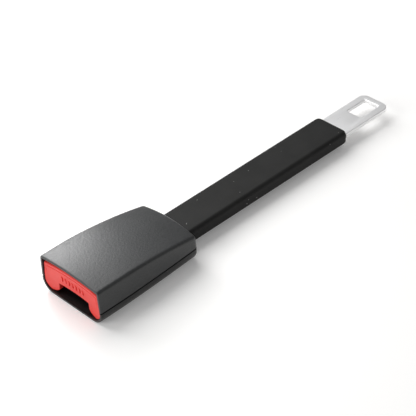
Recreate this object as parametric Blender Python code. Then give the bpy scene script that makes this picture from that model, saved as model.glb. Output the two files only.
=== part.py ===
"""Seat belt extender: a push-button buckle, a moulded sleeve over a sewn webbing loop, and a steel tongue.

All sizes are metres. The object stands on the buckle's flat underside, with +X from the mouth to the
tongue's tip, +Z up, and the origin under the middle of its length. Positions along the part are distances
behind the mouth.
"""
import math

import bmesh
import bpy
from mathutils import Vector

# Whole object
TOTAL_LENGTH = 0.250
GAP = 0.0003                    # clearance between neighbouring pieces

# Buckle housing
BUCKLE_LENGTH = 0.0755
BUCKLE_WIDTH = 0.050
BUCKLE_HEIGHT = 0.025
CROWN = 0.0015                  # rise of the top from its side ridges to the middle
REAR_DROP = 0.0066              # how much lower the ridges are at the rear
REAR_TAPER = 0.0025             # how much narrower each side is at the rear
STRAIGHT_MOUTH = 0.015          # length behind the mouth with no taper, in which the button slides
TAPER_EASE = 1.4                # above 1 the taper and the fall of the top begin softly
REAR_BULGE = 0.0013
WALL = 0.0014
BOTTOM_RADIUS = 0.0078
RIDGE_RADIUS = 0.0020
SIDE_LEAN = 0.0006
FRONT_EDGE = 0.0008
FRONT_EDGE_LENGTH = 0.0030
REAR_RADIUS = 0.0022
PARTING_HEIGHT = 0.0093
PARTING_GAP = 0.0005
LAP_THICKNESS = 0.0008
LAP_HEIGHT = 0.0012

# Release button
BUTTON_RECESS = 0.0005
BUTTON_TOP_GAP = 0.0016
BUTTON_DEPTH = 0.0087
BUTTON_WALL = 0.0015
BUTTON_FACE = 0.0020
BUTTON_DISH = 0.0017
BUTTON_TRAVEL = 0.005
NOTCH_WIDTH = 0.0246
NOTCH_HEIGHT = 0.0088
NOTCH_FLARE_HEIGHT = 0.0046
NOTCH_FLARE = 0.0070
ARM_THICKNESS = 0.0016
ARM_HEIGHT = 0.0060

# Steel channel frame
FRAME_FRONT = 0.0100
FRAME_STEEL = 0.0020
FRAME_INSIDE = 0.0236
FRAME_HIGH_START = 0.0168
FRAME_HIGH_END = 0.0345
FRAME_REAR_MARGIN = 0.0065      # from the frame's end to the housing's
FRAME_SIDE_HEIGHT = 0.0150
FRAME_FRONT_HEIGHT = 0.0138
FRAME_PIVOT_HEIGHT = 0.0028     # how far the cheeks rise above the latch pin
TOOTH_HOLE_MARGINS = (0.0015, 0.0055)
STOP_LUG_START = 0.0463
STOP_LUG_REACH = 0.0048

# Ejector
TONGUE_FRONT_STOP = 0.0170      # where the ejector waits, behind the mouth
EJECTOR_LENGTH = 0.0220
EJECTOR_NOSE = 0.0070
EJECTOR_HEIGHT = 0.0030
EJECTOR_TRAVEL = 0.012
FORK_WIDTH = 0.0108
FORK_DEPTH = 0.0160

# Latch
LATCH_FRONT = 0.0175
LATCH_STEEL = 0.0024
LATCH_WIDTH = 0.0210
PIVOT_BACK = 0.0515
PIVOT_RISE = 0.0052
LATCH_BOSS_RADIUS = 0.0026
LATCH_LIFT = math.radians(9.0)
LATCH_CLEARANCE = 0.00035
UNDERSIDE_RELIEF = 0.72         # the latch's relief over the ramp's peak, as a share of its rise
TOOTH_START = 0.0205
TOOTH_THICKNESS = 0.0035
TOOTH_WIDTH = 0.0094
TOOTH_REACH = 0.0049
PIN_RADIUS = 0.0015

# Lock bar
BAR_START = 0.0235
BAR_LENGTH = 0.0032
BAR_HEIGHT = 0.0026
BAR_TRAVEL = 0.0045
BAR_CHAMFER = 0.0012
BRIDGE_OVER_BAR = 0.0016
WEDGE_STEEPENING = 1.07         # how much steeper the wedge is than the way the bar comes over it

# Springs
WIRE = 0.0005
EJECTOR_SPRING_RADIUS = 0.0021
BUTTON_SPRING_RADIUS = 0.0019
LATCH_SPRING_RADIUS = 0.0020
LATCH_SPRING_ARM = 0.0115       # how far in front of the latch's pin its spring pushes
SPRING_PEG_RADIUS = 0.0011
SPRING_PEG_LENGTH = 0.0025

# Tongue, webbing and sleeve
TONGUE_SHOWING = 0.040
TONGUE_HIDDEN = 0.014
TONGUE_WIDTH = 0.0216
TONGUE_THICKNESS = 0.0026
TONGUE_HEIGHT = 0.0079          # middle of the tongue and of the webbing above the ground
TONGUE_CORNER = 0.0050
WINDOW_FROM_TIP = 0.0211
WINDOW_LENGTH = 0.0165
WINDOW_WIDTH = 0.0114
WINDOW_CORNER = 0.0012
EYE_BAR = 0.0035
EYE_LENGTH = 0.0040
WEBBING_WIDTH = 0.0150
WEBBING_THICKNESS = 0.0012
ANCHOR_RADIUS = 0.0020
ANCHOR_MARGIN = 0.0045          # from the anchor pin to the frame's end
FLOOR_MARGIN = 0.0062           # from the end of the frame's floor to the anchor pin
ANCHOR_HEAD = 0.0032
HEAD_THICKNESS = 0.0008
SLEEVE_WIDTH = 0.0245
SLEEVE_THICKNESS = 0.0090
SLEEVE_LIFT = 0.0032
SLEEVE_WALL = 0.0012
SLEEVE_RADIUS = 0.0024
SLEEVE_END_RADIUS = 0.0030
SLEEVE_FLANGE = 0.0018
FLANGE_THICKNESS = 0.0024
CONVERGE_LENGTH = 0.0120        # from the anchor pin to where the two layers lie together
SPREAD_LENGTH = 0.0090
SEAM_PITCH = 0.0020
SEAM_ROWS = 7
THREAD = 0.0004

# Cover screws
FRONT_SCREW = (0.0205, 0.0184)
REAR_SCREW = (BUCKLE_LENGTH - 0.0185, 0.0174)
SCREW_RADIUS = 0.0011
SCREW_HEAD_RADIUS = 0.0020
SCREW_HEAD_DEPTH = 0.0012
SCREW_GRIP = 0.0050             # how far each screw reaches above the parting line
PILOT_DEPTH = 0.0060
BOSS_RADIUS = 0.0021
LOWER_BOSS_RADIUS = 0.0029

# Worked out from the sizes above
MOUTH = -TOTAL_LENGTH / 2
RIDGE = BUCKLE_HEIGHT - CROWN
FRAME_BASE = WALL + GAP
CHANNEL_FLOOR = FRAME_BASE + FRAME_STEEL
FRAME_HALF = FRAME_INSIDE / 2
FRAME_END = BUCKLE_LENGTH - FRAME_REAR_MARGIN
ANCHOR_BACK = FRAME_END - ANCHOR_MARGIN
FRAME_FLOOR_END = ANCHOR_BACK - FLOOR_MARGIN
FRAME_OUTSIDE = FRAME_HALF + FRAME_STEEL
ARM_INSIDE = FRAME_OUTSIDE + GAP
ARM_OUTSIDE = ARM_INSIDE + ARM_THICKNESS
EJECTOR_BASE = CHANNEL_FLOOR + GAP
EJECTOR_TOP = EJECTOR_BASE + EJECTOR_HEIGHT
LATCH_UNDER = EJECTOR_TOP + LATCH_CLEARANCE
LATCH_TOP = LATCH_UNDER + LATCH_STEEL
PIVOT_HEIGHT = LATCH_UNDER + PIVOT_RISE
EJECTOR_BACK = TONGUE_FRONT_STOP + EJECTOR_LENGTH
RAMP_FOOT = TONGUE_FRONT_STOP + EJECTOR_NOSE
RAMP_PEAK = RAMP_FOOT + EJECTOR_TRAVEL
RAMP_RISE = (PIVOT_BACK - RAMP_PEAK) * math.sin(LATCH_LIFT)
RAMP_SLOPE = RAMP_RISE / EJECTOR_TRAVEL
SLEEVE_END = TOTAL_LENGTH - TONGUE_SHOWING
SLEEVE_START = FRAME_END + 3 * GAP
TONGUE_START = SLEEVE_END - TONGUE_HIDDEN

for leftover in list(bpy.data.objects):
    bpy.data.objects.remove(leftover, do_unlink=True)


def material(name, colour, roughness, metallic=0.0):
    """A Principled material with one colour."""
    made = bpy.data.materials.new(name)
    made.use_nodes = True
    shader = made.node_tree.nodes["Principled BSDF"]
    shader.inputs["Base Color"].default_value = (*colour, 1.0)
    shader.inputs["Roughness"].default_value = roughness
    shader.inputs["Metallic"].default_value = metallic
    return made


COVER_BLACK = material("cover_black", (0.060, 0.061, 0.060), 0.55)
SLEEVE_BLACK = material("sleeve_black", (0.030, 0.030, 0.029), 0.60)
BUTTON_RED = material("button_red", (0.78, 0.085, 0.075), 0.45)
STEEL = material("steel", (0.62, 0.63, 0.64), 0.35, 1.0)
SPRING_STEEL = material("spring_steel", (0.50, 0.50, 0.52), 0.30, 1.0)
INNER_PLASTIC = material("inner_plastic", (0.04, 0.04, 0.04), 0.60)
WEBBING_BLACK = material("webbing_black", (0.020, 0.020, 0.022), 0.90)
THREAD_GREY = material("thread_grey", (0.30, 0.30, 0.31), 0.80)


def mesh_object(name, points, faces, finish=None, place=(0, 0, 0)):
    """A closed mesh object with its normals out; without a finish it is a cutter or a guide."""
    mesh = bpy.data.meshes.new(name)
    mesh.from_pydata([tuple(p) for p in points], [], faces)
    shape = bmesh.new()
    shape.from_mesh(mesh)
    bmesh.ops.recalc_face_normals(shape, faces=shape.faces[:])
    shape.to_mesh(mesh)
    shape.free()
    made = bpy.data.objects.new(name, mesh)
    made.location = place
    bpy.context.scene.collection.objects.link(made)
    if finish:
        mesh.materials.append(finish)
        mesh.shade_smooth()
        mesh.set_sharp_from_angle(angle=math.radians(35))
    else:
        made.hide_render = True
        made.display_type = "WIRE"
    return made


def loft(name, rings, finish=None, fan_end=False):
    """Closed rings of equal length joined in order, with a flat cap on each end. fan_end closes the last ring
    with triangles from its middle, for a ring that isn't flat."""
    count = len(rings[0])
    points = [p for ring in rings for p in ring]
    faces = [
        (k * count + i, k * count + (i + 1) % count, (k + 1) * count + (i + 1) % count, (k + 1) * count + i)
        for k in range(len(rings) - 1)
        for i in range(count)
    ]
    last = (len(rings) - 1) * count
    faces.append(tuple(range(count)))
    if fan_end:
        low, high = (min(p[2] for p in rings[-1]), max(p[2] for p in rings[-1]))
        points.append((max(p[0] for p in rings[-1]), 0.0, (low + high) / 2))
        faces += [(last + i, last + (i + 1) % count, len(points) - 1) for i in range(count)]
    else:
        faces.append(tuple(range(last, last + count)))
    return mesh_object(name, points, faces, finish)


def plate_along_y(name, profile, low, high, finish=None, place=(0, 0, 0)):
    """A side profile of (distance behind the mouth, height) pairs, carried across from y low to y high."""
    rings = [[(MOUTH + x - place[0], y, z - place[2]) for x, z in profile] for y in (low, high)]
    made = loft(name, rings, finish)
    made.location = place
    return made


def block(name, back, across, up, finish=None):
    """A box given by its ranges: distance behind the mouth, y and z."""
    (x0, x1), (y0, y1), (z0, z1) = back, across, up
    return plate_along_y(name, [(x0, z0), (x1, z0), (x1, z1), (x0, z1)], y0, y1, finish)


def rod(name, start, end, radius, finish=None, sides=20):
    """A round rod between two points in the part's own frame."""
    start, end = Vector(start), Vector(end)
    turn = (end - start).to_track_quat("Z", "Y").to_matrix()
    circle = [
        turn @ Vector((radius * math.cos(a), radius * math.sin(a), 0))
        for a in (2 * math.pi * (i + 0.5) / sides for i in range(sides))
    ]
    return loft(name, [[tuple(start + c) for c in circle], [tuple(end + c) for c in circle]], finish)


def boolean(target, operation, *tools):
    """Live Boolean modifiers on the target, one for each tool, in order."""
    for tool in tools:
        step = target.modifiers.new(f"{operation.lower()} {tool.name}", "BOOLEAN")
        step.operation = operation
        step.object = tool
        step.solver = "EXACT"
    return target


def cut(target, *tools):
    return boolean(target, "DIFFERENCE", *tools)


def fuse(target, *tools):
    return boolean(target, "UNION", *tools)


def eased(x, start, end):
    """0 up to start, 1 from end on, and straight between, with a soft beginning."""
    share = min(max((x - start) / (end - start), 0.0), 1.0)
    return share ** TAPER_EASE


def half_width(x):
    return BUCKLE_WIDTH / 2 - REAR_TAPER * eased(x, STRAIGHT_MOUTH, BUCKLE_LENGTH)


def ridge_height(x):
    return RIDGE - REAR_DROP * eased(x, STRAIGHT_MOUTH, BUCKLE_LENGTH)


def top_height(x, y):
    """Height of the housing's outer top above the point at x behind the mouth."""
    return ridge_height(x) + CROWN * (1 - (y / (half_width(x) - SIDE_LEAN)) ** 2)


def inside_height(x, y):
    """Height of the housing's inner top."""
    return top_height(x, y) - WALL


def outline(x, inset, top_drop=0.0, shift=0.0):
    """The housing's section at x, moved inward by inset: flat bottom, round lower corners, leaning sides,
    rounded ridges and a crowned top. shift moves the ring along the part without changing its shape."""
    side, floor = half_width(x) - inset, inset
    ridge = ridge_height(x) - inset - top_drop
    corner = max(BOTTOM_RADIUS - inset, 0.001)
    round_off = max(RIDGE_RADIUS - inset, 0.0004)
    top_side = side - SIDE_LEAN
    half = [
        (side - corner + corner * math.sin(a), floor + corner - corner * math.cos(a))
        for a in (math.radians(90 * i / 6) for i in range(7))
    ]

    def crown(y):
        return ridge + CROWN * (1 - (y / top_side) ** 2)

    lean = SIDE_LEAN * round_off / (ridge - floor - corner)
    start, knee = (top_side + lean, ridge - round_off), (top_side, ridge)
    end = (top_side - round_off, crown(top_side - round_off))
    for i in range(5):
        t = i / 4
        half.append(tuple(
            (1 - t) ** 2 * a + 2 * t * (1 - t) * b + t * t * c for a, b, c in zip(start, knee, end)
        ))
    half += [(end[0] * (1 - i / 5), crown(end[0] * (1 - i / 5))) for i in range(1, 5)]
    ring = half + [(0.0, crown(0.0))] + [(-y, z) for y, z in reversed(half)]
    bulge = REAR_BULGE * eased(x, BUCKLE_LENGTH * 0.7, BUCKLE_LENGTH)
    return [(MOUTH + x + shift - bulge * (y / half_width(x)) ** 2, y, z) for y, z in ring]


def housing_rings(inset, first, last, front_edge, rear_radius):
    """Rings of the housing moved inward by inset, from first to last behind the mouth, with rounded ends."""
    rings = []
    if front_edge:
        for a in (math.radians(d) for d in (0, 30, 60)):
            rings.append(outline(first + FRONT_EDGE_LENGTH * (1 - math.cos(a)),
                                 inset + front_edge * (1 - math.sin(a))))
    else:
        rings.append(outline(first, inset))
    body_end = last - rear_radius
    rings.append(outline(first + FRONT_EDGE_LENGTH, inset))
    steps = 8
    rings += [outline(STRAIGHT_MOUTH + (body_end - STRAIGHT_MOUTH) * i / steps, inset)
              for i in range(steps + 1)]
    for a in (math.radians(d) for d in (30, 60, 80)):
        rings.append(outline(body_end + rear_radius * math.sin(a), inset + rear_radius * (1 - math.cos(a))))
    return rings


def rounded_ring(x, half, low, high, radius, steps=4):
    """A rectangle with round corners across the part at x behind the mouth."""
    ring = []
    for cy, cz, begin in (
        (half - radius, high - radius, 0), (radius - half, high - radius, 90),
        (radius - half, low + radius, 180), (half - radius, low + radius, 270),
    ):
        for i in range(steps + 1):
            a = math.radians(begin + 90 * i / steps)
            ring.append((MOUTH + x, cy + radius * math.cos(a), cz + radius * math.sin(a)))
    return ring


def sleeve_rings(starts, grow=0.0):
    """Rings of the sleeve's outer section at the given distances, grown all round."""
    return [
        rounded_ring(x, SLEEVE_WIDTH / 2 + grow - inset, SLEEVE_LIFT - grow + inset / 2,
                     SLEEVE_LIFT + SLEEVE_THICKNESS + grow - inset / 2, SLEEVE_RADIUS + grow)
        for x, inset in starts
    ]


def coil(name, start, end, radius, turns, finish):
    """A compression spring's wire as one tube of five sides, from start to end along its axis."""
    start, end = Vector(start), Vector(end)
    turn = (end - start).to_track_quat("Z", "Y").to_matrix()
    length = (end - start).length - WIRE
    steps = int(turns * 11)
    rings = []
    for k in range(steps + 1):
        angle, rise = 2 * math.pi * turns * k / steps, WIRE / 2 + length * k / steps
        out = Vector((math.cos(angle), math.sin(angle), 0))
        ring = []
        for i in range(5):
            a = 2 * math.pi * i / 5
            spot = out * (radius + WIRE / 2 * math.cos(a)) + Vector((0, 0, rise + WIRE / 2 * math.sin(a)))
            ring.append(tuple(start + turn @ spot))
        rings.append(ring)
    return loft(name, rings, finish)


def screw_spots():
    """Number, distance behind the mouth and y of each cover screw."""
    spots = [(x, side * y) for x, y in (FRONT_SCREW, REAR_SCREW) for side in (-1, 1)]
    return [(i + 1, x, y) for i, (x, y) in enumerate(spots)]


def lengthwise(name, x0, x1, y, z, radius, finish=None, sides=14):
    """A rod along the part."""
    return rod(name, (MOUTH + x0, y, z), (MOUTH + x1, y, z), radius, finish, sides)


def crosswise(name, x, z, reach, radius, finish=None, sides=20):
    """A rod across the part, from -reach to +reach."""
    return rod(name, (MOUTH + x, -reach, z), (MOUTH + x, reach, z), radius, finish, sides)


def upright(name, x, y, z0, z1, radius, finish=None, sides=16):
    return rod(name, (MOUTH + x, y, z0), (MOUTH + x, y, z1), radius, finish, sides)


def turned(name, x, y, steps, finish=None, sides=14):
    """An upright turned shape from its (height, radius) steps."""
    circle = [2 * math.pi * (i + 0.5) / sides for i in range(sides)]
    return loft(name, [[(MOUTH + x + r * math.cos(a), y + r * math.sin(a), z) for a in circle]
                       for z, r in steps], finish)


# Places that several pieces share
BAR_END = BAR_START + BAR_LENGTH
FRAME_TOP = inside_height(FRAME_HIGH_END, FRAME_OUTSIDE) - 2 * GAP
BAR_TOP = FRAME_TOP - BRIDGE_OVER_BAR - GAP
BAR_BASE = BAR_TOP - BAR_HEIGHT
ARM_TOP = FRAME_TOP - 2 * GAP
ARM_BASE = ARM_TOP - ARM_HEIGHT
ARM_END = FRAME_HIGH_END - GAP
BUTTON_SPRING_Y = ARM_INSIDE + BUTTON_SPRING_RADIUS + WIRE / 2
BUTTON_SPRING_Z = ARM_BASE + BUTTON_SPRING_RADIUS + WIRE
EJECTOR_SPRING_Z = EJECTOR_BASE + EJECTOR_SPRING_RADIUS + WIRE
STOP_TAB = FRAME_FLOOR_END - FRAME_STEEL
LATCH_SPRING_BACK = PIVOT_BACK - LATCH_SPRING_ARM
PIVOT = (MOUTH + PIVOT_BACK, 0.0, PIVOT_HEIGHT)


def housing(name, below, finish):
    """One half of the housing: the shell, cut at the parting line, with the sleeve's opening at the rear."""
    shell = loft(name, housing_rings(0.0, 0.0, BUCKLE_LENGTH, FRONT_EDGE, REAR_RADIUS), finish, True)
    hollow = loft(f"{name} hollow",
                  housing_rings(WALL, -FRONT_EDGE_LENGTH, BUCKLE_LENGTH - WALL, 0.0, REAR_RADIUS - WALL),
                  None, True)
    opening = loft(f"{name} sleeve opening",
                   sleeve_rings([(BUCKLE_LENGTH - 4 * WALL, 0.0), (BUCKLE_LENGTH + WALL, 0.0)], GAP))
    reach = BUCKLE_WIDTH
    level = PARTING_HEIGHT + (-PARTING_GAP if below else PARTING_GAP) / 2
    span = (level, level + reach) if below else (level - reach, level)
    other_half = block(f"{name} other half", (-WALL, BUCKLE_LENGTH + WALL), (-reach, reach), span)
    return cut(shell, hollow, other_half, opening)


def make_upper_cover():
    """The upper cover: moulded shell with four screw columns and a peg for the latch spring."""
    cover = housing("upper_cover", False, COVER_BLACK)
    for number, x, y in screw_spots():
        base, top = PARTING_HEIGHT + PARTING_GAP / 2, top_height(x, abs(y)) - WALL / 2
        fuse(cover, upright(f"upper column {number}", x, y, base, top, BOSS_RADIUS))
        cut(cover, upright(f"upper pilot {number}", x, y, base - WALL, base + PILOT_DEPTH,
                           SCREW_RADIUS + GAP / 2))
    peg_top = top_height(LATCH_SPRING_BACK, 0) - WALL / 2
    fuse(cover, upright("latch spring peg", LATCH_SPRING_BACK, 0,
                        peg_top - WALL - SPRING_PEG_LENGTH, peg_top, SPRING_PEG_RADIUS))


def make_lower_cover():
    """The lower cover: a tray with the lead-in ramp, a lap rim behind the parting line and screw wells."""
    cover = housing("lower_cover", True, COVER_BLACK)
    ramp = [(WALL, WALL / 2), (FRAME_FRONT - GAP, WALL / 2), (FRAME_FRONT - GAP, CHANNEL_FLOOR),
            (FRAME_FRONT - 3 * GAP, CHANNEL_FLOOR), (WALL, WALL)]
    fuse(cover, plate_along_y("lead-in ramp", ramp, -NOTCH_WIDTH / 2 + GAP, NOTCH_WIDTH / 2 - GAP))
    level = PARTING_HEIGHT - PARTING_GAP / 2
    lap_front = BUTTON_DEPTH + BUTTON_TRAVEL + 4 * GAP
    lap_back = SLEEVE_START - GAP
    for side, word in ((-1, "right"), (1, "left")):
        rings = []
        for x in (lap_front, (lap_front + lap_back) / 2, lap_back):
            outer = half_width(x) - WALL - GAP - SIDE_LEAN / 4
            inner = outer - LAP_THICKNESS
            low, high = level - 2 * LAP_HEIGHT, level + LAP_HEIGHT
            ring = [(inner, low), (outer + WALL / 2, low), (outer + WALL / 2, level - WALL / 4),
                    (outer, level), (outer, high), (inner, high)]
            rings.append([(MOUTH + x, side * y, z) for y, z in ring])
        fuse(cover, loft(f"lap rim {word}", rings))
    head_top = SCREW_HEAD_DEPTH + 2 * GAP
    for number, x, y in screw_spots():
        fuse(cover, upright(f"lower boss {number}", x, y, WALL * 0.96, PARTING_HEIGHT - PARTING_GAP / 2,
                            LOWER_BOSS_RADIUS))
        cut(cover, turned(f"screw well {number}", x, y, [
            (-WALL, SCREW_HEAD_RADIUS + GAP), (WALL + head_top, SCREW_HEAD_RADIUS + GAP),
            (WALL + head_top, SCREW_RADIUS + GAP), (PARTING_HEIGHT + WALL, SCREW_RADIUS + GAP)]))


def make_cover_screws():
    """Four self-tapping screws from below, their heads sunk in the lower cover's wells."""
    for number, x, y in screw_spots():
        base = WALL + 2 * GAP - SCREW_HEAD_DEPTH / 2
        tip = PARTING_HEIGHT + SCREW_GRIP
        shank = SCREW_RADIUS - GAP / 2
        screw = turned(f"cover_screw_{number}", x, y, [
            (base, SCREW_HEAD_RADIUS - GAP), (base + GAP, SCREW_HEAD_RADIUS),
            (base + SCREW_HEAD_DEPTH, SCREW_HEAD_RADIUS), (base + SCREW_HEAD_DEPTH, shank),
            (tip - SCREW_RADIUS, shank), (tip, SCREW_RADIUS / 3)], STEEL)
        slot = SCREW_HEAD_RADIUS * 0.7
        cut(screw,
            block(f"drive slot along {number}", (x - slot, x + slot), (y - GAP, y + GAP), (0.0, base + GAP)),
            block(f"drive slot across {number}", (x - GAP, x + GAP), (y - slot, y + slot), (0.0, base + GAP)))


def notch_points(grow=0.0):
    """The mouth's notch in the button's face as (y, z) pairs: square above, flared below."""
    half, foot = NOTCH_WIDTH / 2 + grow, -WALL
    top = NOTCH_HEIGHT + grow
    return [(-half - NOTCH_FLARE, foot), (-half - NOTCH_FLARE, WALL), (-half, NOTCH_FLARE_HEIGHT),
            (-half, top), (half, top), (half, NOTCH_FLARE_HEIGHT), (half + NOTCH_FLARE, WALL),
            (half + NOTCH_FLARE, foot)]


def make_release_button():
    """The red button: a dished cap over the whole mouth with a notch for the tongue, and two arms that
    run back beside the frame, carry the lock bar in their windows and bear on the return springs."""
    inset = WALL + GAP
    face_back = BUTTON_RECESS + BUTTON_DISH + BUTTON_FACE
    front, back = (STRAIGHT_MOUTH / 2, BUTTON_RECESS), (STRAIGHT_MOUTH / 2, BUTTON_DEPTH)
    rings = [outline(x, inset + soft, BUTTON_TOP_GAP, place - x)
             for x, place, soft in ((front[0], front[1], GAP), (front[0], front[1] + GAP, 0.0), (*back, 0.0))]
    button = loft("release_button", rings, BUTTON_RED)
    hollow = loft("button hollow", [outline(front[0], inset + BUTTON_WALL, BUTTON_TOP_GAP, place - front[0])
                                    for place in (face_back, BUTTON_DEPTH + WALL)])
    reach = BUCKLE_WIDTH / 2 - inset - 3 * GAP
    dish_edge = [(reach * (i / 8 - 1)) for i in range(17)]
    plan = [(-WALL, -reach), (-WALL, reach)]
    plan += [(BUTTON_RECESS + BUTTON_DISH * (1 - (y / reach) ** 2), y) for y in reversed(dish_edge)]
    dish = loft("button dish", [[(MOUTH + x, y, z) for x, y in plan] for z in (-WALL, BUCKLE_HEIGHT + WALL)])
    notch = loft("button notch", [[(MOUTH + x, y, z) for y, z in notch_points()]
                                  for x in (-WALL, BUCKLE_HEIGHT)])
    cut(button, hollow, dish)
    arm_start = face_back - BUTTON_FACE / 2
    window = (BAR_START - BAR_TRAVEL - GAP, BAR_END + GAP)
    for side, word in ((-1, "right"), (1, "left")):
        across = sorted((side * ARM_INSIDE, side * ARM_OUTSIDE))
        pad_across = sorted((side * ARM_INSIDE, side * (BUTTON_SPRING_Y + BUTTON_SPRING_RADIUS)))
        pad_up = (ARM_BASE, BUTTON_SPRING_Z + BUTTON_SPRING_RADIUS + WIRE)
        fuse(button,
             block(f"{word} arm", (arm_start, ARM_END), across, (ARM_BASE, ARM_TOP)),
             block(f"{word} pad", (ARM_END - ARM_THICKNESS, ARM_END + GAP / 2), pad_across, pad_up),
             lengthwise(f"{word} peg", ARM_END - ARM_THICKNESS / 2, ARM_END + SPRING_PEG_LENGTH,
                        side * BUTTON_SPRING_Y, BUTTON_SPRING_Z, SPRING_PEG_RADIUS))
        slot = sorted((side * (ARM_INSIDE - WALL), side * (ARM_OUTSIDE + WALL)))
        cut(button, block(f"{word} window", window, slot, (BAR_BASE - GAP, BAR_TOP + GAP)))
    cut(button, notch)


def make_frame():
    """The frame: a folded steel channel with high cheeks round the lock bar, a hole for the latch's
    tooth, a tab behind the ejector spring, lugs behind the button springs and ears for the anchor pin."""
    cheek = [(FRAME_FRONT, FRAME_BASE), (FRAME_END, FRAME_BASE), (FRAME_END, FRAME_SIDE_HEIGHT - FRAME_STEEL),
             (FRAME_END - FRAME_STEEL, FRAME_SIDE_HEIGHT),
             (FRAME_HIGH_END + 2 * FRAME_STEEL, PIVOT_HEIGHT + FRAME_PIVOT_HEIGHT),
             (FRAME_HIGH_END, FRAME_TOP),
             (FRAME_HIGH_START + FRAME_STEEL, FRAME_TOP), (FRAME_HIGH_START, FRAME_FRONT_HEIGHT),
             (FRAME_FRONT, FRAME_FRONT_HEIGHT)]
    frame = plate_along_y("frame", cheek, -FRAME_OUTSIDE, FRAME_OUTSIDE, STEEL)
    reach = FRAME_END + FRAME_STEEL
    inner = block("channel", (FRAME_FRONT - FRAME_STEEL, reach), (-FRAME_HALF, FRAME_HALF),
                  (CHANNEL_FLOOR, BUCKLE_HEIGHT))
    open_rear = block("open rear", (FRAME_FLOOR_END, reach), (-FRAME_HALF, FRAME_HALF), (0.0, BUCKLE_HEIGHT))
    before, behind = TOOTH_HOLE_MARGINS
    tooth_hole = block("tooth hole", (TOOTH_START - before, TOOTH_START + TOOTH_THICKNESS + behind),
                       (-FORK_WIDTH / 2, FORK_WIDTH / 2), (0.0, CHANNEL_FLOOR + FRAME_STEEL))
    cut(frame, inner, open_rear, tooth_hole)
    tab_top = EJECTOR_SPRING_Z + EJECTOR_SPRING_RADIUS + WIRE
    fuse(frame, block("spring tab", (STOP_TAB, FRAME_FLOOR_END - GAP / 2), (-FORK_WIDTH / 2, FORK_WIDTH / 2),
                      (FRAME_BASE + FRAME_STEEL / 2, tab_top)))
    lug_top = BUTTON_SPRING_Z + BUTTON_SPRING_RADIUS + WIRE
    for side, word in ((-1, "right"), (1, "left")):
        across = sorted((side * (FRAME_OUTSIDE - FRAME_STEEL / 2), side * (FRAME_OUTSIDE + STOP_LUG_REACH)))
        fuse(frame, block(f"{word} spring lug", (STOP_LUG_START, STOP_LUG_START + FRAME_STEEL * 0.8), across,
                          (PIVOT_HEIGHT, lug_top)))
    wide = FRAME_OUTSIDE + FRAME_STEEL
    slot = (BAR_START - BAR_TRAVEL - GAP, BAR_END + BUTTON_TRAVEL + GAP)
    cut(frame,
        block("bar slots", slot, (-wide, wide), (BAR_BASE - GAP, BAR_TOP + GAP)),
        crosswise("latch pin holes", PIVOT_BACK, PIVOT_HEIGHT, wide, PIN_RADIUS + GAP),
        crosswise("anchor pin holes", ANCHOR_BACK, TONGUE_HEIGHT, wide, ANCHOR_RADIUS + GAP),
        crosswise("guide peg holes", GUIDE_PEG[0], GUIDE_PEG[1], wide, SPRING_PEG_RADIUS + GAP, sides=12))


GUIDE_START = FRAME_FRONT + GAP
GUIDE_END = LATCH_FRONT - 3 * GAP
GUIDE_BASE = LATCH_UNDER + 3 * GAP
GUIDE_TOP = FRAME_FRONT_HEIGHT - 4 * GAP
GUIDE_PEG = ((GUIDE_START + GUIDE_END) / 2, (GUIDE_BASE + GUIDE_TOP) / 2)


def make_tongue_guide():
    """The plastic bridge across the channel's front that leads the tongue in, pegged into both cheeks."""
    chamfer = 5 * GAP
    profile = [(GUIDE_START + chamfer, GUIDE_BASE), (GUIDE_END, GUIDE_BASE), (GUIDE_END, GUIDE_TOP),
               (GUIDE_START, GUIDE_TOP), (GUIDE_START, GUIDE_BASE + chamfer)]
    guide = plate_along_y("tongue_guide", profile, -FRAME_HALF + GAP, FRAME_HALF - GAP, INNER_PLASTIC)
    fuse(guide, crosswise("guide pegs", *GUIDE_PEG, FRAME_OUTSIDE, SPRING_PEG_RADIUS, sides=12))


def make_ejector():
    """The ejector: a forked plastic slide in the channel. Its ramps hold the latch up, and a peg at its back
    centres the spring."""
    profile = [(TONGUE_FRONT_STOP, EJECTOR_BASE), (EJECTOR_BACK, EJECTOR_BASE),
               (EJECTOR_BACK, EJECTOR_TOP + RAMP_RISE), (RAMP_PEAK, EJECTOR_TOP + RAMP_RISE),
               (RAMP_FOOT, EJECTOR_TOP), (TONGUE_FRONT_STOP, EJECTOR_TOP)]
    half = FRAME_HALF - 1.5 * GAP
    ejector = plate_along_y("ejector", profile, -half, half, INNER_PLASTIC)
    cut(ejector, block("fork", (TONGUE_FRONT_STOP - WALL, TONGUE_FRONT_STOP + FORK_DEPTH),
                       (-FORK_WIDTH / 2, FORK_WIDTH / 2), (0.0, BUCKLE_HEIGHT)))
    fuse(ejector, lengthwise("ejector peg", EJECTOR_BACK - WALL, EJECTOR_BACK + SPRING_PEG_LENGTH, 0,
                             EJECTOR_SPRING_Z, SPRING_PEG_RADIUS))


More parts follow.
